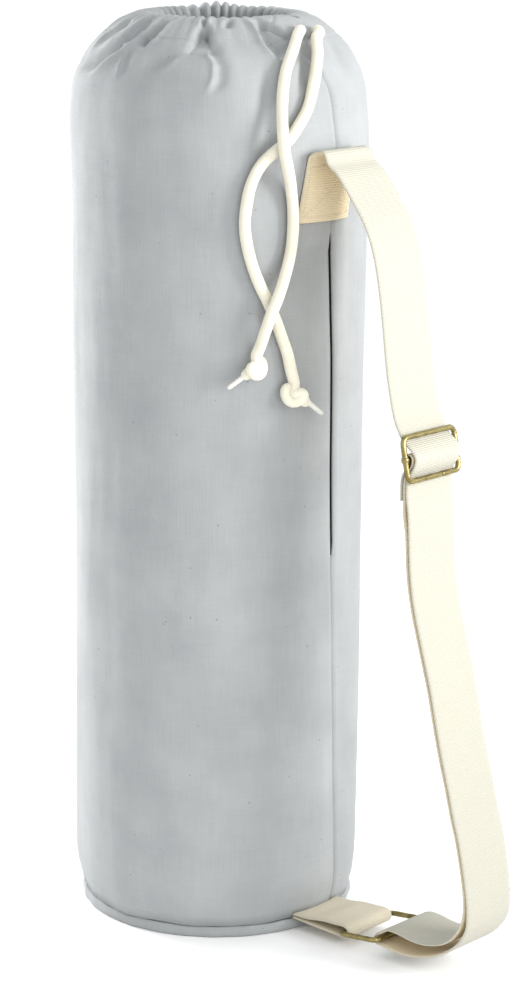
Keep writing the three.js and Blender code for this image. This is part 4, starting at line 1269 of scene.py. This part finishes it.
@dataclass
class Webbing:
    """The shoulder strap and the ring's tab: one kind of ribbed tape."""

    width: float = 49.0
    thickness: float = 1.8
    bag_radius: float = 105.0
    bag_height: float = 656.0
    reach: float = 153.0
    seam_gap: float = 0.3
    sewn_height: float = 42.5
    skew: float = 8.5
    skew_reach: float = 42.0
    top: float = 562.0
    wire: float = 3.9
    bar: float = 3.4
    frame_height: float = 34.0
    slider_at: tuple[float, float] = (0.6046, 0.5614)
    slider_lean: float = 11.5
    ring_near: tuple[float, float] = (147.0, 12.0)
    ring_far: tuple[float, float] = (180.1, 15.9)
    columns: int = 17

    def place(self, pair: tuple[float, float]) -> tuple[float, float]:
        """Returns a place given in shares of the strap's reach and of the bag's height."""
        return (self.bag_radius + pair[0] * self.reach, pair[1] * self.bag_height)

    def slider_place(self, along: float, out: float) -> tuple[float, float]:
        """Returns a place given in the slider's own axes, along its height and out of its face."""
        lean = math.radians(self.slider_lean)
        middle = self.place(self.slider_at)
        return (
            middle[0] + out * math.cos(lean) - along * math.sin(lean),
            middle[1] + out * math.sin(lean) + along * math.cos(lean),
        )

    def bar_pitch(self) -> float:
        """Returns the distance from the slider's centre bar to its outer bars."""
        return (self.frame_height - self.wire) / 2

    def _threaded(self, rows: tuple[tuple[float, float], ...]) -> list[tuple[float, float]]:
        """Returns the places of rows given in shares of the bar pitch and of the bars' clearance."""
        clearance = (self.wire + self.thickness) / 2 + 3.5 * self.seam_gap
        return [self.slider_place(along * self.bar_pitch(), out * clearance) for along, out in rows]

    def _wrap(self, centre: tuple[float, float], turns: tuple[float, ...]) -> list[tuple[float, float]]:
        """Returns the places of a ply that goes round a bar of the ring."""
        radius = (self.wire + self.thickness) / 2 + 4.5 * self.seam_gap
        return [
            (centre[0] + radius * math.cos(math.radians(t)), centre[1] + radius * math.sin(math.radians(t)))
            for t in turns
        ]

    def strap_line(self) -> np.ndarray:
        """Returns the strap's middle line as (out, up, bow) rows."""
        wall = self.bag_radius + self.thickness / 2 + 2 * self.seam_gap
        rows = [(wall, self.top - self.sewn_height * (1 - share), 1.0) for share in (0, 0.35, 0.7, 1)]
        rows += [(wall + out * self.thickness, self.top + up * self.thickness, bow) for out, up, bow in TOP_FOLD]
        loop = (self.bar + self.thickness) / 2 + 2 * self.seam_gap
        free = [self.place(pair) for pair in UPPER_PLY] + self._threaded(THREAD_OVER)
        free += [self.place(pair) for pair in OUTER_PLY]
        free += self._wrap(self.ring_far, RING_WRAP_TURNS)
        free += [self.place(pair) for pair in RETURN_PLY]
        pitch = self.thickness + self.seam_gap
        for step in range(INNER_STEPS):
            out, up = self.place(OUTER_PLY[INNER_STEPS - step])
            free.append((out - (INNER_GAP + INNER_SPREAD * step / INNER_STEPS) * pitch, up))
        free += self._threaded(THREAD_UNDER)
        for turn in BAR_WRAP_TURNS:
            free.append(self.slider_place(loop * math.sin(math.radians(turn)), loop * math.cos(math.radians(turn))))
        free += self._threaded(THREAD_TAIL)
        return np.array(rows + [(out, up, 0.0) for out, up in free])

    def tab_line(self) -> np.ndarray:
        """Returns the tab's middle line as (out, up, bow) rows."""
        start = self.bag_radius + 1.7 * self.seam_gap
        seat = 8.2 + 2 * self.seam_gap + self.thickness / 2
        radius = (self.wire + self.thickness) / 2 + 4.5 * self.seam_gap
        rows = []
        wrap = [(out, up, 0.0) for out, up in self._wrap(self.ring_near, TAB_WRAP_TURNS)]
        top = self.ring_near[1] + radius
        for table, level, after in ((TAB_LOWER, seat, wrap), (TAB_WRAP_TOP, top, []), (TAB_UPPER, seat, [])):
            for share, rise, bow in table:
                rows.append((start + (self.ring_near[0] - start) * share, level + rise * self.thickness, bow))
            rows += after
        return np.array(rows)

    def ribbon(self, line: np.ndarray, skew: np.ndarray, painted_shade_share: tuple[float, float]) -> Patch:
        """Sweeps the tape's section along a line.

        Args:
            line: Evenly divided (out, up, bow) rows.
            skew: Sideways move of each row in millimetres.
            painted_shade_share: How much painted shade, a warm tan, each of the two faces gets.

        Returns:
            The closed tape.
        """
        run = np.gradient(line[:, :2], axis=0)
        run /= np.linalg.norm(run, axis=1, keepdims=True)
        normal = np.stack([-run[:, 1], run[:, 0]], axis=1)
        share = np.sin(np.linspace(-math.pi / 2, math.pi / 2, self.columns))
        share = 0.35 * share + 0.65 * np.linspace(-1, 1, self.columns)
        edge = np.clip((np.abs(share) - EDGE_START) / (1.0 - EDGE_START), 0, 1)
        half = self.thickness / 2 * (0.35 + 0.65 * np.sqrt(1 - edge**2))
        across = np.concatenate([share, share[::-1]])
        face = np.concatenate([half, -half[::-1]])
        side = across[None, :] * self.width / 2 + skew[:, None]
        bow = self.bag_radius - np.sqrt(self.bag_radius**2 - side**2)
        out = line[:, :1] - line[:, 2:] * bow + face[None, :] * normal[:, :1]
        up = line[:, 1:2] + face[None, :] * normal[:, 1:] + np.zeros_like(side)
        points = np.stack([out, side, up], axis=2) * MM
        front = (share + 1) * self.width / 2
        wide = np.concatenate([front, BACK_UV + front, [END_UV]]) * MM
        along = arc_lengths(line[:, :2]) * MM
        patch = grid_patch(points, wide, along, True)
        count = points.shape[1]
        last = (len(line) - 1) * count
        for row in (0, last):
            for step in range(self.columns - 1):
                mirror = count - 1 - step
                patch.faces.append((row + step, row + step + 1, row + mirror - 1, row + mirror))
                patch.corners.extend([(wide[step], 0.0)] * 4)
        # Painted shade: each face gets its share of the warm tan, fading out towards the tape's edges.
        inner = np.where(face > 0, painted_shade_share[0], painted_shade_share[1]) * (1.0 - 0.45 * smooth((np.abs(across) - PAINTED_SHADE_FADE_START) / 0.12))
        patch.reverse = np.tile(inner, len(line))
        return patch

    def skew_at(self, along: np.ndarray) -> np.ndarray:
        """Returns how far the sewn end lies aside, at distances from the strap's start, in millimetres."""
        return -self.skew * np.clip(1.0 - along / self.skew_reach, 0.0, 1.0)

    def build_strap(self, material: Material) -> SceneObject:
        """Makes the strap and returns it."""
        line = smooth_line(self.strap_line(), 1.6)
        # Painted shade: one face of the strap gets the full warm tan, the other none.
        return self.ribbon(line, self.skew_at(arc_lengths(line)), (0.0, 1.0)).to_object("webbing_strap", material)

    def build_tab(self, material: Material) -> SceneObject:
        """Makes the doubled tab and returns it."""
        line = smooth_line(self.tab_line(), 1.0)
        # Painted shade: both faces of the tab get part of the warm tan.
        return self.ribbon(line, np.zeros(len(line)), (0.7, 0.42)).to_object("webbing_tab", material)


UPPER_PLY = (
    (0.11, 0.855),
    (0.162, 0.846),
    (0.214, 0.832),
    (0.268, 0.816),
    (0.322, 0.799),
    (0.365, 0.779),
    (0.395, 0.757),
    (0.421, 0.728),
    (0.444, 0.693),
    (0.466, 0.655),
    (0.486, 0.63),
)
OUTER_PLY = (
    (0.607, 0.506),
    (0.616, 0.479),
    (0.623, 0.451),
    (0.636, 0.425),
    (0.66, 0.398),
    (0.692, 0.372),
    (0.725, 0.346),
    (0.758, 0.32),
    (0.786, 0.293),
    (0.813, 0.267),
    (0.843, 0.241),
    (0.876, 0.215),
    (0.908, 0.187),
    (0.941, 0.162),
    (0.967, 0.136),
    (0.99, 0.108),
    (1, 0.087),
    (0.997, 0.07),
    (0.97, 0.0555),
    (0.922, 0.0425),
    (0.858, 0.0315),
    (0.776, 0.0228),
    (0.686, 0.0174),
    (0.6, 0.0158),
)
RETURN_PLY = (
    (0.536, 0.0374),
    (0.595, 0.0378),
    (0.68, 0.0352),
    (0.765, 0.0358),
    (0.842, 0.041),
    (0.903, 0.05),
    (0.946, 0.0625),
    (0.972, 0.077),
    (0.979, 0.09),
)
# Angles in degrees at which a ply passes round the ring's far bar and the slider's centre bar
RING_WRAP_TURNS = (-75, -112, -150, -188, -225, -262)
BAR_WRAP_TURNS = (-4, 38, 80, 122, 164, 196)
# The ply under the outer one: its rows, and its gap at the foot and what the gap gains upwards, in plies
INNER_STEPS = 15
INNER_GAP = 1.18
INNER_SPREAD = 0.12
# The fold over the sewn end's top, as (out, up) in plies and how much it follows the wall
TOP_FOLD = ((0.2, 1.5, 0.8), (1.2, 2.83, 0.5), (3.2, 3.72, 0.25), (6.4, 3.5, 0.05))
# Where the tape's rounded edge starts, and where the painted shade of its faces starts to fade towards the paler
# edges, as shares of its half width
EDGE_START = 0.955
PAINTED_SHADE_FADE_START = 0.86
# UV places in millimetres of the tape's back face and of the end of its section
BACK_UV = 60.0
END_UV = 110.0
THREAD_OVER = (
    (1.75, -1.92),
    (1.3, -1.4),
    (1.0, -1.0),
    (0.73, -0.42),
    (0.4, 0.78),
    (0, 1.62),
    (-0.4, 0.9),
    (-0.73, -0.36),
    (-1.0, -1.0),
    (-1.3, -1.35),
    (-1.8, -1.65),
)
THREAD_UNDER = (
    (-2.45, -2.8),
    (-1.9, -2.4),
    (-1.4, -2.05),
    (-1.02, -1.72),
    (-0.73, -1.18),
    (-0.4, 0.04),
    (-0.22, 0.6),
)
THREAD_TAIL = ((-0.36, -0.85), (-0.72, -1.9), (-1.02, -2.4), (-1.4, -2.72), (-1.85, -3.05))
TAB_LOWER = ((-0.11, 0, 1), (0.2, -0.28, 0.5), (0.5, -0.61, 0), (0.8, -0.78, 0))
TAB_WRAP_TURNS = (-100, -62, -24, 14, 52, 90)
TAB_WRAP_TOP = ((0.8, -0.22, 0), (0.5, -0.67, 0))
TAB_UPPER = ((0.2, 1.67, 0.5), (-0.11, 1.28, 1))


# Brass

CURL_SIDES = 28


@dataclass
class Hardware:
    """The three-bar slider and the rectangular ring."""

    webbing: Webbing
    width: float = 59.1
    corner: float = 5.0
    curl_wall: float = 0.55

    def _frame(self, first: tuple[float, float], second: tuple[float, float]) -> np.ndarray:
        """Returns the closed centre line of a wire rectangle whose bars pass two (out, up) places."""
        wire = self.webbing.wire
        side = (self.width - wire) / 2
        start = np.array([first[0], 0.0, first[1]])
        axis = np.array([second[0] - first[0], 0.0, second[1] - first[1]])
        depth = float(np.linalg.norm(axis))
        axis /= depth
        along = np.array([0.0, 1.0, 0.0])
        points: list[np.ndarray] = []
        corners = (
            (self.corner, self.corner - side, 270),
            (depth - self.corner, self.corner - side, 360),
            (depth - self.corner, side - self.corner, 90),
            (self.corner, side - self.corner, 180),
        )
        for at, aside, end in corners:
            for turn in np.radians(np.arange(end - 90, end + 1, 10)):
                spoke = (at + self.corner * math.cos(turn), aside + self.corner * math.sin(turn))
                points.append(start + axis * spoke[0] + along * spoke[1])
        ring = np.array(points + points[:1])
        way = arc_lengths(ring)
        wanted = np.linspace(0, way[-1], int(way[-1] / 0.9), endpoint=False)
        return np.stack([np.interp(wanted, way, ring[:, k]) for k in range(3)], axis=1) * MM

    def _jointed(self, path: np.ndarray, joint: np.ndarray) -> np.ndarray:
        """Returns the wire's radius along a path, with a groove where its ends meet."""
        radius = self.webbing.wire / 2 * MM
        near = np.linalg.norm(path - joint[None, :], axis=1)
        return radius * (1.0 - 0.35 * np.exp(-((near / 0.0007) ** 2)) + 0.03 * np.sin(np.arange(len(path)) * 0.37))

    def build_slider(self, material: Material) -> SceneObject:
        """Makes the slider's frame and returns it."""
        tape = self.webbing
        low, high = tape.slider_place(-tape.bar_pitch(), 0), tape.slider_place(tape.bar_pitch(), 0)
        path = self._frame(low, high)
        joint = np.array([low[0], 8.0, low[1]]) * MM
        return tube_patch(path, self._jointed(path, joint), 20, True).to_object("brass_slider", material)

    def build_ring(self, material: Material) -> SceneObject:
        """Makes the ring and returns it."""
        path = self._frame(self.webbing.ring_near, self.webbing.ring_far)
        joint = np.array([self.webbing.ring_far[0], -25.0, self.webbing.ring_far[1]]) * MM
        return tube_patch(path, self._jointed(path, joint), 20, True).to_object("brass_ring", material)

    def build_bar(self, material: Material) -> SceneObject:
        """Makes the slider's centre bar with its curled ends and returns it."""
        tape = self.webbing
        side = (self.width - tape.wire) / 2
        out, up = tape.place(tape.slider_at)
        span = side - tape.wire / 2 - 0.4
        line = np.array([[out, y, up] for y in np.linspace(-span, span, 60)]) * MM
        patch = tube_patch(line, tape.bar / 2 * MM, 16)
        lean = math.radians(tape.slider_lean)
        axis = np.array([-math.sin(lean), 0.0, math.cos(lean)])
        face = np.array([math.cos(lean), 0.0, math.sin(lean)])
        beside = np.array([0.0, 1.0, 0.0])
        inner = tape.wire / 2 + 0.2
        outer = inner + self.curl_wall
        half = tape.bar / 2
        profile = [(inner, -half), (outer - 0.2, -half), (outer, -half + 0.25), (outer, half - 0.25)]
        profile += [(outer - 0.2, half), (inner, half)]
        for hand in (-1, 1):
            middle = np.array([out, hand * side, up])
            turn = np.arange(CURL_SIDES) * 2 * math.pi / CURL_SIDES
            grid = np.array(
                [
                    [middle + axis * z + r * (face * math.cos(t) + beside * math.sin(t)) for t in turn]
                    for r, z in profile + profile[:1]
                ]
            )
            ring = grid_patch(grid * MM, np.arange(CURL_SIDES + 1) * MM, np.arange(len(grid)) * MM, True)
            patch = patch.add(ring.closed(len(profile) * CURL_SIDES))
        return patch.to_object("brass_bar", material)


# Drawcord


@dataclass(frozen=True)
class CordEnd:
    """A knot and its bound tip: places on the wall, the tip's slope and the way that it points."""

    angle: float
    height: float
    tip_angle: float
    tip_height: float
    lean: float
    hand: int


@dataclass
class Drawcord:
    """The hidden loop, the two free ends, their knots and their tips."""

    diameter: float = 8.0
    ring_radius: float = 54.0
    casing_height: float = 648.0
    bag_radius: float = 105.0
    standoff: float = 10.4
    tip_length: float = 15.0
    tip_diameter: float = 3.8
    sides: int = 36
    step: float = 1.2
    knot_size: tuple[float, float, float] = (2.45, 1.95, 2.3)
    knot_tilt: float = 24.0
    knot_cord: float = 3.8

    def path(self, route: tuple[tuple[float, float, float], ...]) -> np.ndarray:
        """Returns a free end's centre line in metres."""
        return smooth_line(np.array([cylindrical(*row) for row in route]), self.step * MM)

    def build_loop(self, material: Material) -> SceneObject:
        """Makes the run inside the casing and returns it."""
        angle = np.linspace(26, 350, 240)
        rise = np.zeros_like(angle)
        for place, lift, spread in CASING_RISES:
            rise += lift * 8 * np.exp(-((turn_between(angle, np.full_like(angle, place)) / spread) ** 2))
        path = np.array([cylindrical(a, self.ring_radius, self.casing_height + r) for a, r in zip(angle, rise)])
        return tube_patch(path, 0.0037, 14).to_object("drawcord_run", material)

    def build_end(self, name: str, path: np.ndarray, material: Material) -> SceneObject:
        """Makes a free end and returns it."""
        way = np.arange(len(path))
        radius = self.diameter / 2 * MM * (1.0 + 0.025 * np.sin(way * 0.19) * np.sin(way * 0.053 + 1))
        return tube_patch(path, radius, self.sides, False, 0.0002, 0.94).to_object(name, material)

    def build_knot(
        self, name: str, end: CordEnd, entry: np.ndarray, material: Material
    ) -> SceneObject:
        """Makes a tight overhand knot between a cord's end and its tip.

        Args:
            name: The object's name.
            end: The knot's place.
            entry: The last point of the cord above it.
            material: The cord's material.

        Returns:
            The knot.
        """
        centre = np.array(cylindrical(end.angle, self.bag_radius + self.standoff, end.height))
        turn = math.radians(end.angle)
        out = np.array([math.cos(turn), math.sin(turn), 0.0])
        side = np.array([-math.sin(turn), math.cos(turn), 0.0]) * end.hand
        up = np.array([0.0, 0.0, 1.0])
        t = np.linspace(-1.93, 1.93, 120)
        x = (t**3 - 3 * t) * self.knot_size[0]
        y = (t**4 - 4 * t**2 + 1.4) * self.knot_size[1]
        z = (t**5 / 5 - t * 2.0) * self.knot_size[2]
        tilt = math.radians(self.knot_tilt)
        x, y = x * math.cos(tilt) - y * math.sin(tilt), x * math.sin(tilt) + y * math.cos(tilt)
        knot = centre + (side * x[:, None] - up * y[:, None] + out * z[:, None]) * MM
        tip = np.array(cylindrical(end.tip_angle, self.bag_radius + self.standoff, end.tip_height))
        route = np.vstack([entry[None, :], knot[6:-6], (0.55 * tip + 0.45 * knot[-6])[None, :]])
        tube = tube_patch(smooth_line(route, 0.0007), self.knot_cord * MM, 24, False, 0.00015)
        return tube.to_object(name, material)

    def build_tip(self, name: str, end: CordEnd, material: Material) -> SceneObject:
        """Makes a bound tip and returns it."""
        centre = np.array(cylindrical(end.tip_angle, self.bag_radius + self.standoff, end.tip_height))
        turn, lean = math.radians(end.tip_angle), math.radians(end.lean)
        side = np.array([-math.sin(turn), math.cos(turn), 0.0]) * end.hand
        way = side * math.cos(lean) - np.array([0.0, 0.0, 1.0]) * math.sin(lean)
        share = np.linspace(-0.5, 0.5, 24)
        path = centre + way * (share * self.tip_length * MM)[:, None]
        radius = self.tip_diameter / 2 * MM * (1.05 - 0.1 * share + 0.07 * np.sin(share * 37))
        return tube_patch(path, radius, 18, False, 0.0, 0.86).to_object(name, material)


LEFT_ROUTE = (
    (-0.9, 71.6, 641.6),
    (-1.8, 74.8, 645.2),
    (-3.6, 78, 647.7),
    (-6.8, 82, 647.2),
    (-10.3, 86.3, 645.2),
    (-14.6, 91.9, 638.8),
    (-18.8, 97.9, 631.3),
    (-22, 102.7, 623.4),
    (-24.4, 107.9, 611.8),
    (-25.6, 112, 598.1),
    (-26.3, 117, 584.6),
    (-26.1, 119.7, 571),
    (-23.9, 116, 557.3),
    (-21.9, 112.6, 543.5),
    (-20.6, 110.6, 529.6),
    (-20.5, 110.4, 515.8),
    (-21.4, 111, 502.2),
    (-23.9, 114.4, 488.7),
    (-27, 118.6, 475.2),
    (-29.9, 119.6, 461.6),
    (-31.9, 117.6, 447.9),
    (-33, 113.6, 437.6),
    (-34.3, 112.4, 430.8),
)
RIGHT_ROUTE = (
    (17.2, 73, 641),
    (10.9, 76, 644.4),
    (9.4, 79.4, 646.8),
    (6.2, 83.6, 645.6),
    (-0.3, 89, 642.9),
    (-3.5, 94.9, 634.8),
    (-7.8, 101.9, 624.8),
    (-11.9, 107.7, 611.8),
    (-14.9, 110, 598.5),
    (-18.8, 110.1, 586.8),
    (-22.9, 110.1, 577),
    (-27.9, 110.1, 569.9),
    (-33, 110.1, 560.7),
    (-36.4, 110.1, 548),
    (-37.9, 110.1, 534.4),
    (-38.5, 110.1, 520.8),
    (-37.6, 110.1, 507.1),
    (-35.7, 110.1, 493.3),
    (-33.2, 110.1, 480.8),
    (-30.1, 110.1, 468.7),
    (-27.4, 110.1, 457.4),
    (-24.7, 110.3, 443.8),
    (-22.4, 110.8, 431.6),
    (-20.9, 111.6, 418.7),
    (-19.8, 112.2, 409.9),
)
LEFT_END = CordEnd(-33.9, 421.0, -40.8, 414.3, 36, -1)
RIGHT_END = CordEnd(-21.2, 400.4, -12.4, 391.9, 38, 1)


# Stitches


@dataclass(frozen=True)
class ThreadFinish:
    """Matt sewing thread."""

    tone: Colour

    def build(self, name: str) -> Material:
        """Returns the material."""
        material, board, place = start_material(name, Coordinates.OBJECT)
        cloud = board.noise(place, 900.0)
        colour = board.mix(cloud, self.tone, tuple(0.8 * part for part in self.tone[:3]) + (1.0,))
        end_material(board, colour, 0.8, cloud, 0.00005, {"Specular IOR Level": 0.25})
        return material


@dataclass(frozen=True)
class Seat:
    """Where stitches lie: places in metres, the way that each runs and the cloth's normal there."""

    places: np.ndarray
    ways: np.ndarray
    normals: np.ndarray


@dataclass
class Stitching:
    """Lines of stitches, one small rounded thread at every seat."""

    length: float = 2.3
    thread: float = 0.55

    def _tree(self, material: Material) -> bpy.types.GeometryNodeTree:
        """Returns the node tree that sets one thread at every point."""
        tree = bpy.data.node_groups.new("stitch line", "GeometryNodeTree")
        tree.interface.new_socket("Geometry", in_out="INPUT", socket_type="NodeSocketGeometry")
        for name in ("Length", "Thread"):
            tree.interface.new_socket(name, in_out="INPUT", socket_type="NodeSocketFloat")
        tree.interface.new_socket("Geometry", in_out="OUTPUT", socket_type="NodeSocketGeometry")
        board = NodeBoard(tree)
        source = board.add("NodeGroupInput")
        ball = board.add("GeometryNodeMeshUVSphere")
        for name, value in (("Segments", 8), ("Rings", 6), ("Radius", 0.5)):
            ball.inputs[name].default_value = value
        size = board.add("ShaderNodeCombineXYZ")
        for axis, name in (("X", "Length"), ("Y", "Thread"), ("Z", "Thread")):
            board.feed(size.inputs[axis], source.outputs[name])
        turn: Socket | None = None
        for name, axis in (("way", "X"), ("lie", "Z")):
            given = board.add("GeometryNodeInputNamedAttribute", data_type="FLOAT_VECTOR")
            given.inputs["Name"].default_value = name
            align = board.add("FunctionNodeAlignRotationToVector", axis=axis)
            if turn is not None:
                align.pivot_axis = "X"
                board.feed(align.inputs["Rotation"], turn)
            board.feed(align.inputs["Vector"], given.outputs["Attribute"])
            turn = align.outputs["Rotation"]
        spread = board.add("GeometryNodeInstanceOnPoints")
        for name, value in (
            ("Points", source.outputs["Geometry"]),
            ("Instance", ball.outputs["Mesh"]),
            ("Rotation", turn),
            ("Scale", size.outputs[0]),
        ):
            board.feed(spread.inputs[name], value)
        real = board.add("GeometryNodeRealizeInstances")
        board.feed(real.inputs[0], spread.outputs[0])
        coat = board.add("GeometryNodeSetMaterial")
        coat.inputs["Material"].default_value = material
        board.feed(coat.inputs["Geometry"], real.outputs[0])
        return board.finish(Geometry=coat.outputs[0])

    def build(self, name: str, seat: Seat, material: Material) -> SceneObject:
        """Makes the stitches as one plain mesh and returns it.

        Args:
            name: The object's name.
            seat: Where the stitches lie.
            material: The thread's material.

        Returns:
            The stitches.
        """
        mesh = bpy.data.meshes.new(name + " points")
        mesh.from_pydata([tuple(row) for row in seat.places], [], [])
        for title, rows in (("way", seat.ways), ("lie", seat.normals)):
            kept = mesh.attributes.new(title, "FLOAT_VECTOR", "POINT")
            kept.data.foreach_set("vector", np.ascontiguousarray(rows, dtype=np.float32).ravel())
        holder = linked(name + " points", mesh)
        tree = self._tree(material)
        modifier = holder.modifiers.new("stitches", "NODES")
        modifier.node_group = tree
        sockets = {item.name: item.identifier for item in tree.interface.items_tree if item.in_out == "INPUT"}
        modifier[sockets["Length"]] = self.length * MM
        modifier[sockets["Thread"]] = self.thread * MM
        graph = bpy.context.evaluated_depsgraph_get()
        graph.update()
        solid = bpy.data.meshes.new_from_object(holder.evaluated_get(graph))
        holder.modifiers.remove(modifier)
        bpy.data.objects.remove(holder)
        return linked(name, solid)


def seat_on(line: np.ndarray, normals: np.ndarray, pitch: float, rise: float) -> Seat:
    """Spaces stitches evenly along a line on the cloth.

    Args:
        line: The line's points in metres.
        normals: The cloth's normals there.
        pitch: Distance between stitches in millimetres.
        rise: How far a stitch's middle lies over the cloth, in millimetres.

    Returns:
        The stitches' seat.
    """
    along = arc_lengths(line)
    wanted = np.arange(pitch / 2, along[-1] / MM, pitch) * MM
    places, lies = (
        np.stack([np.interp(wanted, along, part[:, axis]) for axis in range(3)], axis=1) for part in (line, normals)
    )
    lies = unit(lies)
    ways = unit(np.gradient(places, axis=0))
    return Seat(places + lies * rise * MM, ways, lies)


def hem_seat(tube: CanvasTube) -> Seat:
    """Returns the seat of the stitches over the casing's hem."""
    row = int(np.argmin(np.abs(tube.down - HEM_DOWN + HEM_STITCHES_ABOVE)))
    around = np.roll(tube.outer, -1, axis=1) - np.roll(tube.outer, 1, axis=1)
    along = np.gradient(tube.outer, axis=0)
    normals = unit(np.cross(around, along))[row]
    line = np.vstack([tube.outer[row], tube.outer[row][:1]])
    return seat_on(line, np.vstack([normals, normals[:1]]), 3.1, 0.05)


def sewn_seat(tape: Webbing) -> Seat:
    """Returns the seat of the box of stitches that holds the strap's end to the bag."""
    low, high = tape.top - tape.sewn_height + 4.0, tape.top - 4.0
    edge = tape.width / 2 - 3.5
    corners = ((-edge, low), (edge, low), (edge, high), (-edge, high), (-edge, low), (edge, high))
    wall = tape.bag_radius + tape.thickness + 2 * tape.seam_gap
    rows = []
    for (side, level), (next_side, next_level) in zip(corners[:-1], corners[1:]):
        for share in np.linspace(0.0, 1.0, 40):
            height = level + (next_level - level) * share
            skew = float(tape.skew_at(height - tape.top + tape.sewn_height))
            across = side + (next_side - side) * share + skew
            bow = tape.bag_radius - math.sqrt(tape.bag_radius**2 - across**2)
            rows.append((wall - bow, across, height))
    line = np.array(rows)
    normals = line * np.array([1.0, 1.0, 0.0])
    return seat_on(line * MM, unit(normals), 3.0, 0.02)


# The whole bag


def dress(made: SceneObject, node: str) -> None:
    """Fixes a piece to the body in the place of one CAD node."""
    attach(made, BODY)
    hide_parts(node)


def hang_drawcord(cord: Material, tip: Material) -> None:
    """Builds both free ends with their knots and tips, and the run inside the casing."""
    drawcord = Drawcord()
    for side, route, end in (("left", LEFT_ROUTE, LEFT_END), ("right", RIGHT_ROUTE, RIGHT_END)):
        path = drawcord.path(route)
        free = drawcord.build_end(f"drawcord_{side}_free", path, cord)
        dress(free, f"drawcord_{side}")
        knot = drawcord.build_knot(f"drawcord_{side}_knot", end, path[-1], cord)
        dress(knot, f"knot_{side}")
        bound = drawcord.build_tip(f"drawcord_{side}_tip", end, tip)
        dress(bound, f"tip_{side}")
    dress(drawcord.build_loop(cord), "drawcord_loop")


def sew_stitches(tube: CanvasTube, tape: Webbing) -> None:
    """Adds the stitches of the casing's hem and of the strap's sewn end."""
    grey = ThreadFinish((0.40, 0.415, 0.42, 1.0)).build("grey thread")
    cream = ThreadFinish((0.62, 0.56, 0.42, 1.0)).build("cream thread")
    stitching = Stitching()
    for name, seat, thread, slot in (
        ("stitches_hem", hem_seat(tube), grey, "canvas"),
        ("stitches_strap", sewn_seat(tape), cream, "webbing"),
    ):
        made = stitching.build(name, seat, thread)
        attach(made, BODY)


def main() -> None:
    """Builds the studio and the bag."""
    logging.basicConfig(level=logging.INFO, format="%(message)s")
    effects = Effects()
    StudioCamera().place()
    StudioSet().build(effects)
    canvas = CanvasFinish().build(effects)
    webbing = WebbingFinish().build(effects)
    cord = CordFinish().build(effects)
    tip = TipFinish().build(effects)
    brass = BrassFinish().build(effects)
    hang_drawcord(cord, tip)
    tube, tape = CanvasTube(), Webbing()
    cloth = (
        (tube.build(canvas), "bag_body", "canvas"),
        (BasePanel().build(canvas), "base_panel", "canvas"),
        (tape.build_strap(webbing), "strap", "webbing"),
        (tape.build_tab(webbing), "ring_tab", "webbing"),
    )
    for made, node, slot in cloth:
        dress(made, node)
        LOG.info("%s: %d faces", made.name, len(made.data.polygons))
    sew_stitches(tube, tape)
    hardware = Hardware(tape)
    dress(hardware.build_slider(brass), "slider_frame")
    dress(hardware.build_bar(brass), "slider_bar")
    dress(hardware.build_ring(brass), "strap_ring")


if __name__ == "__main__":
    main()
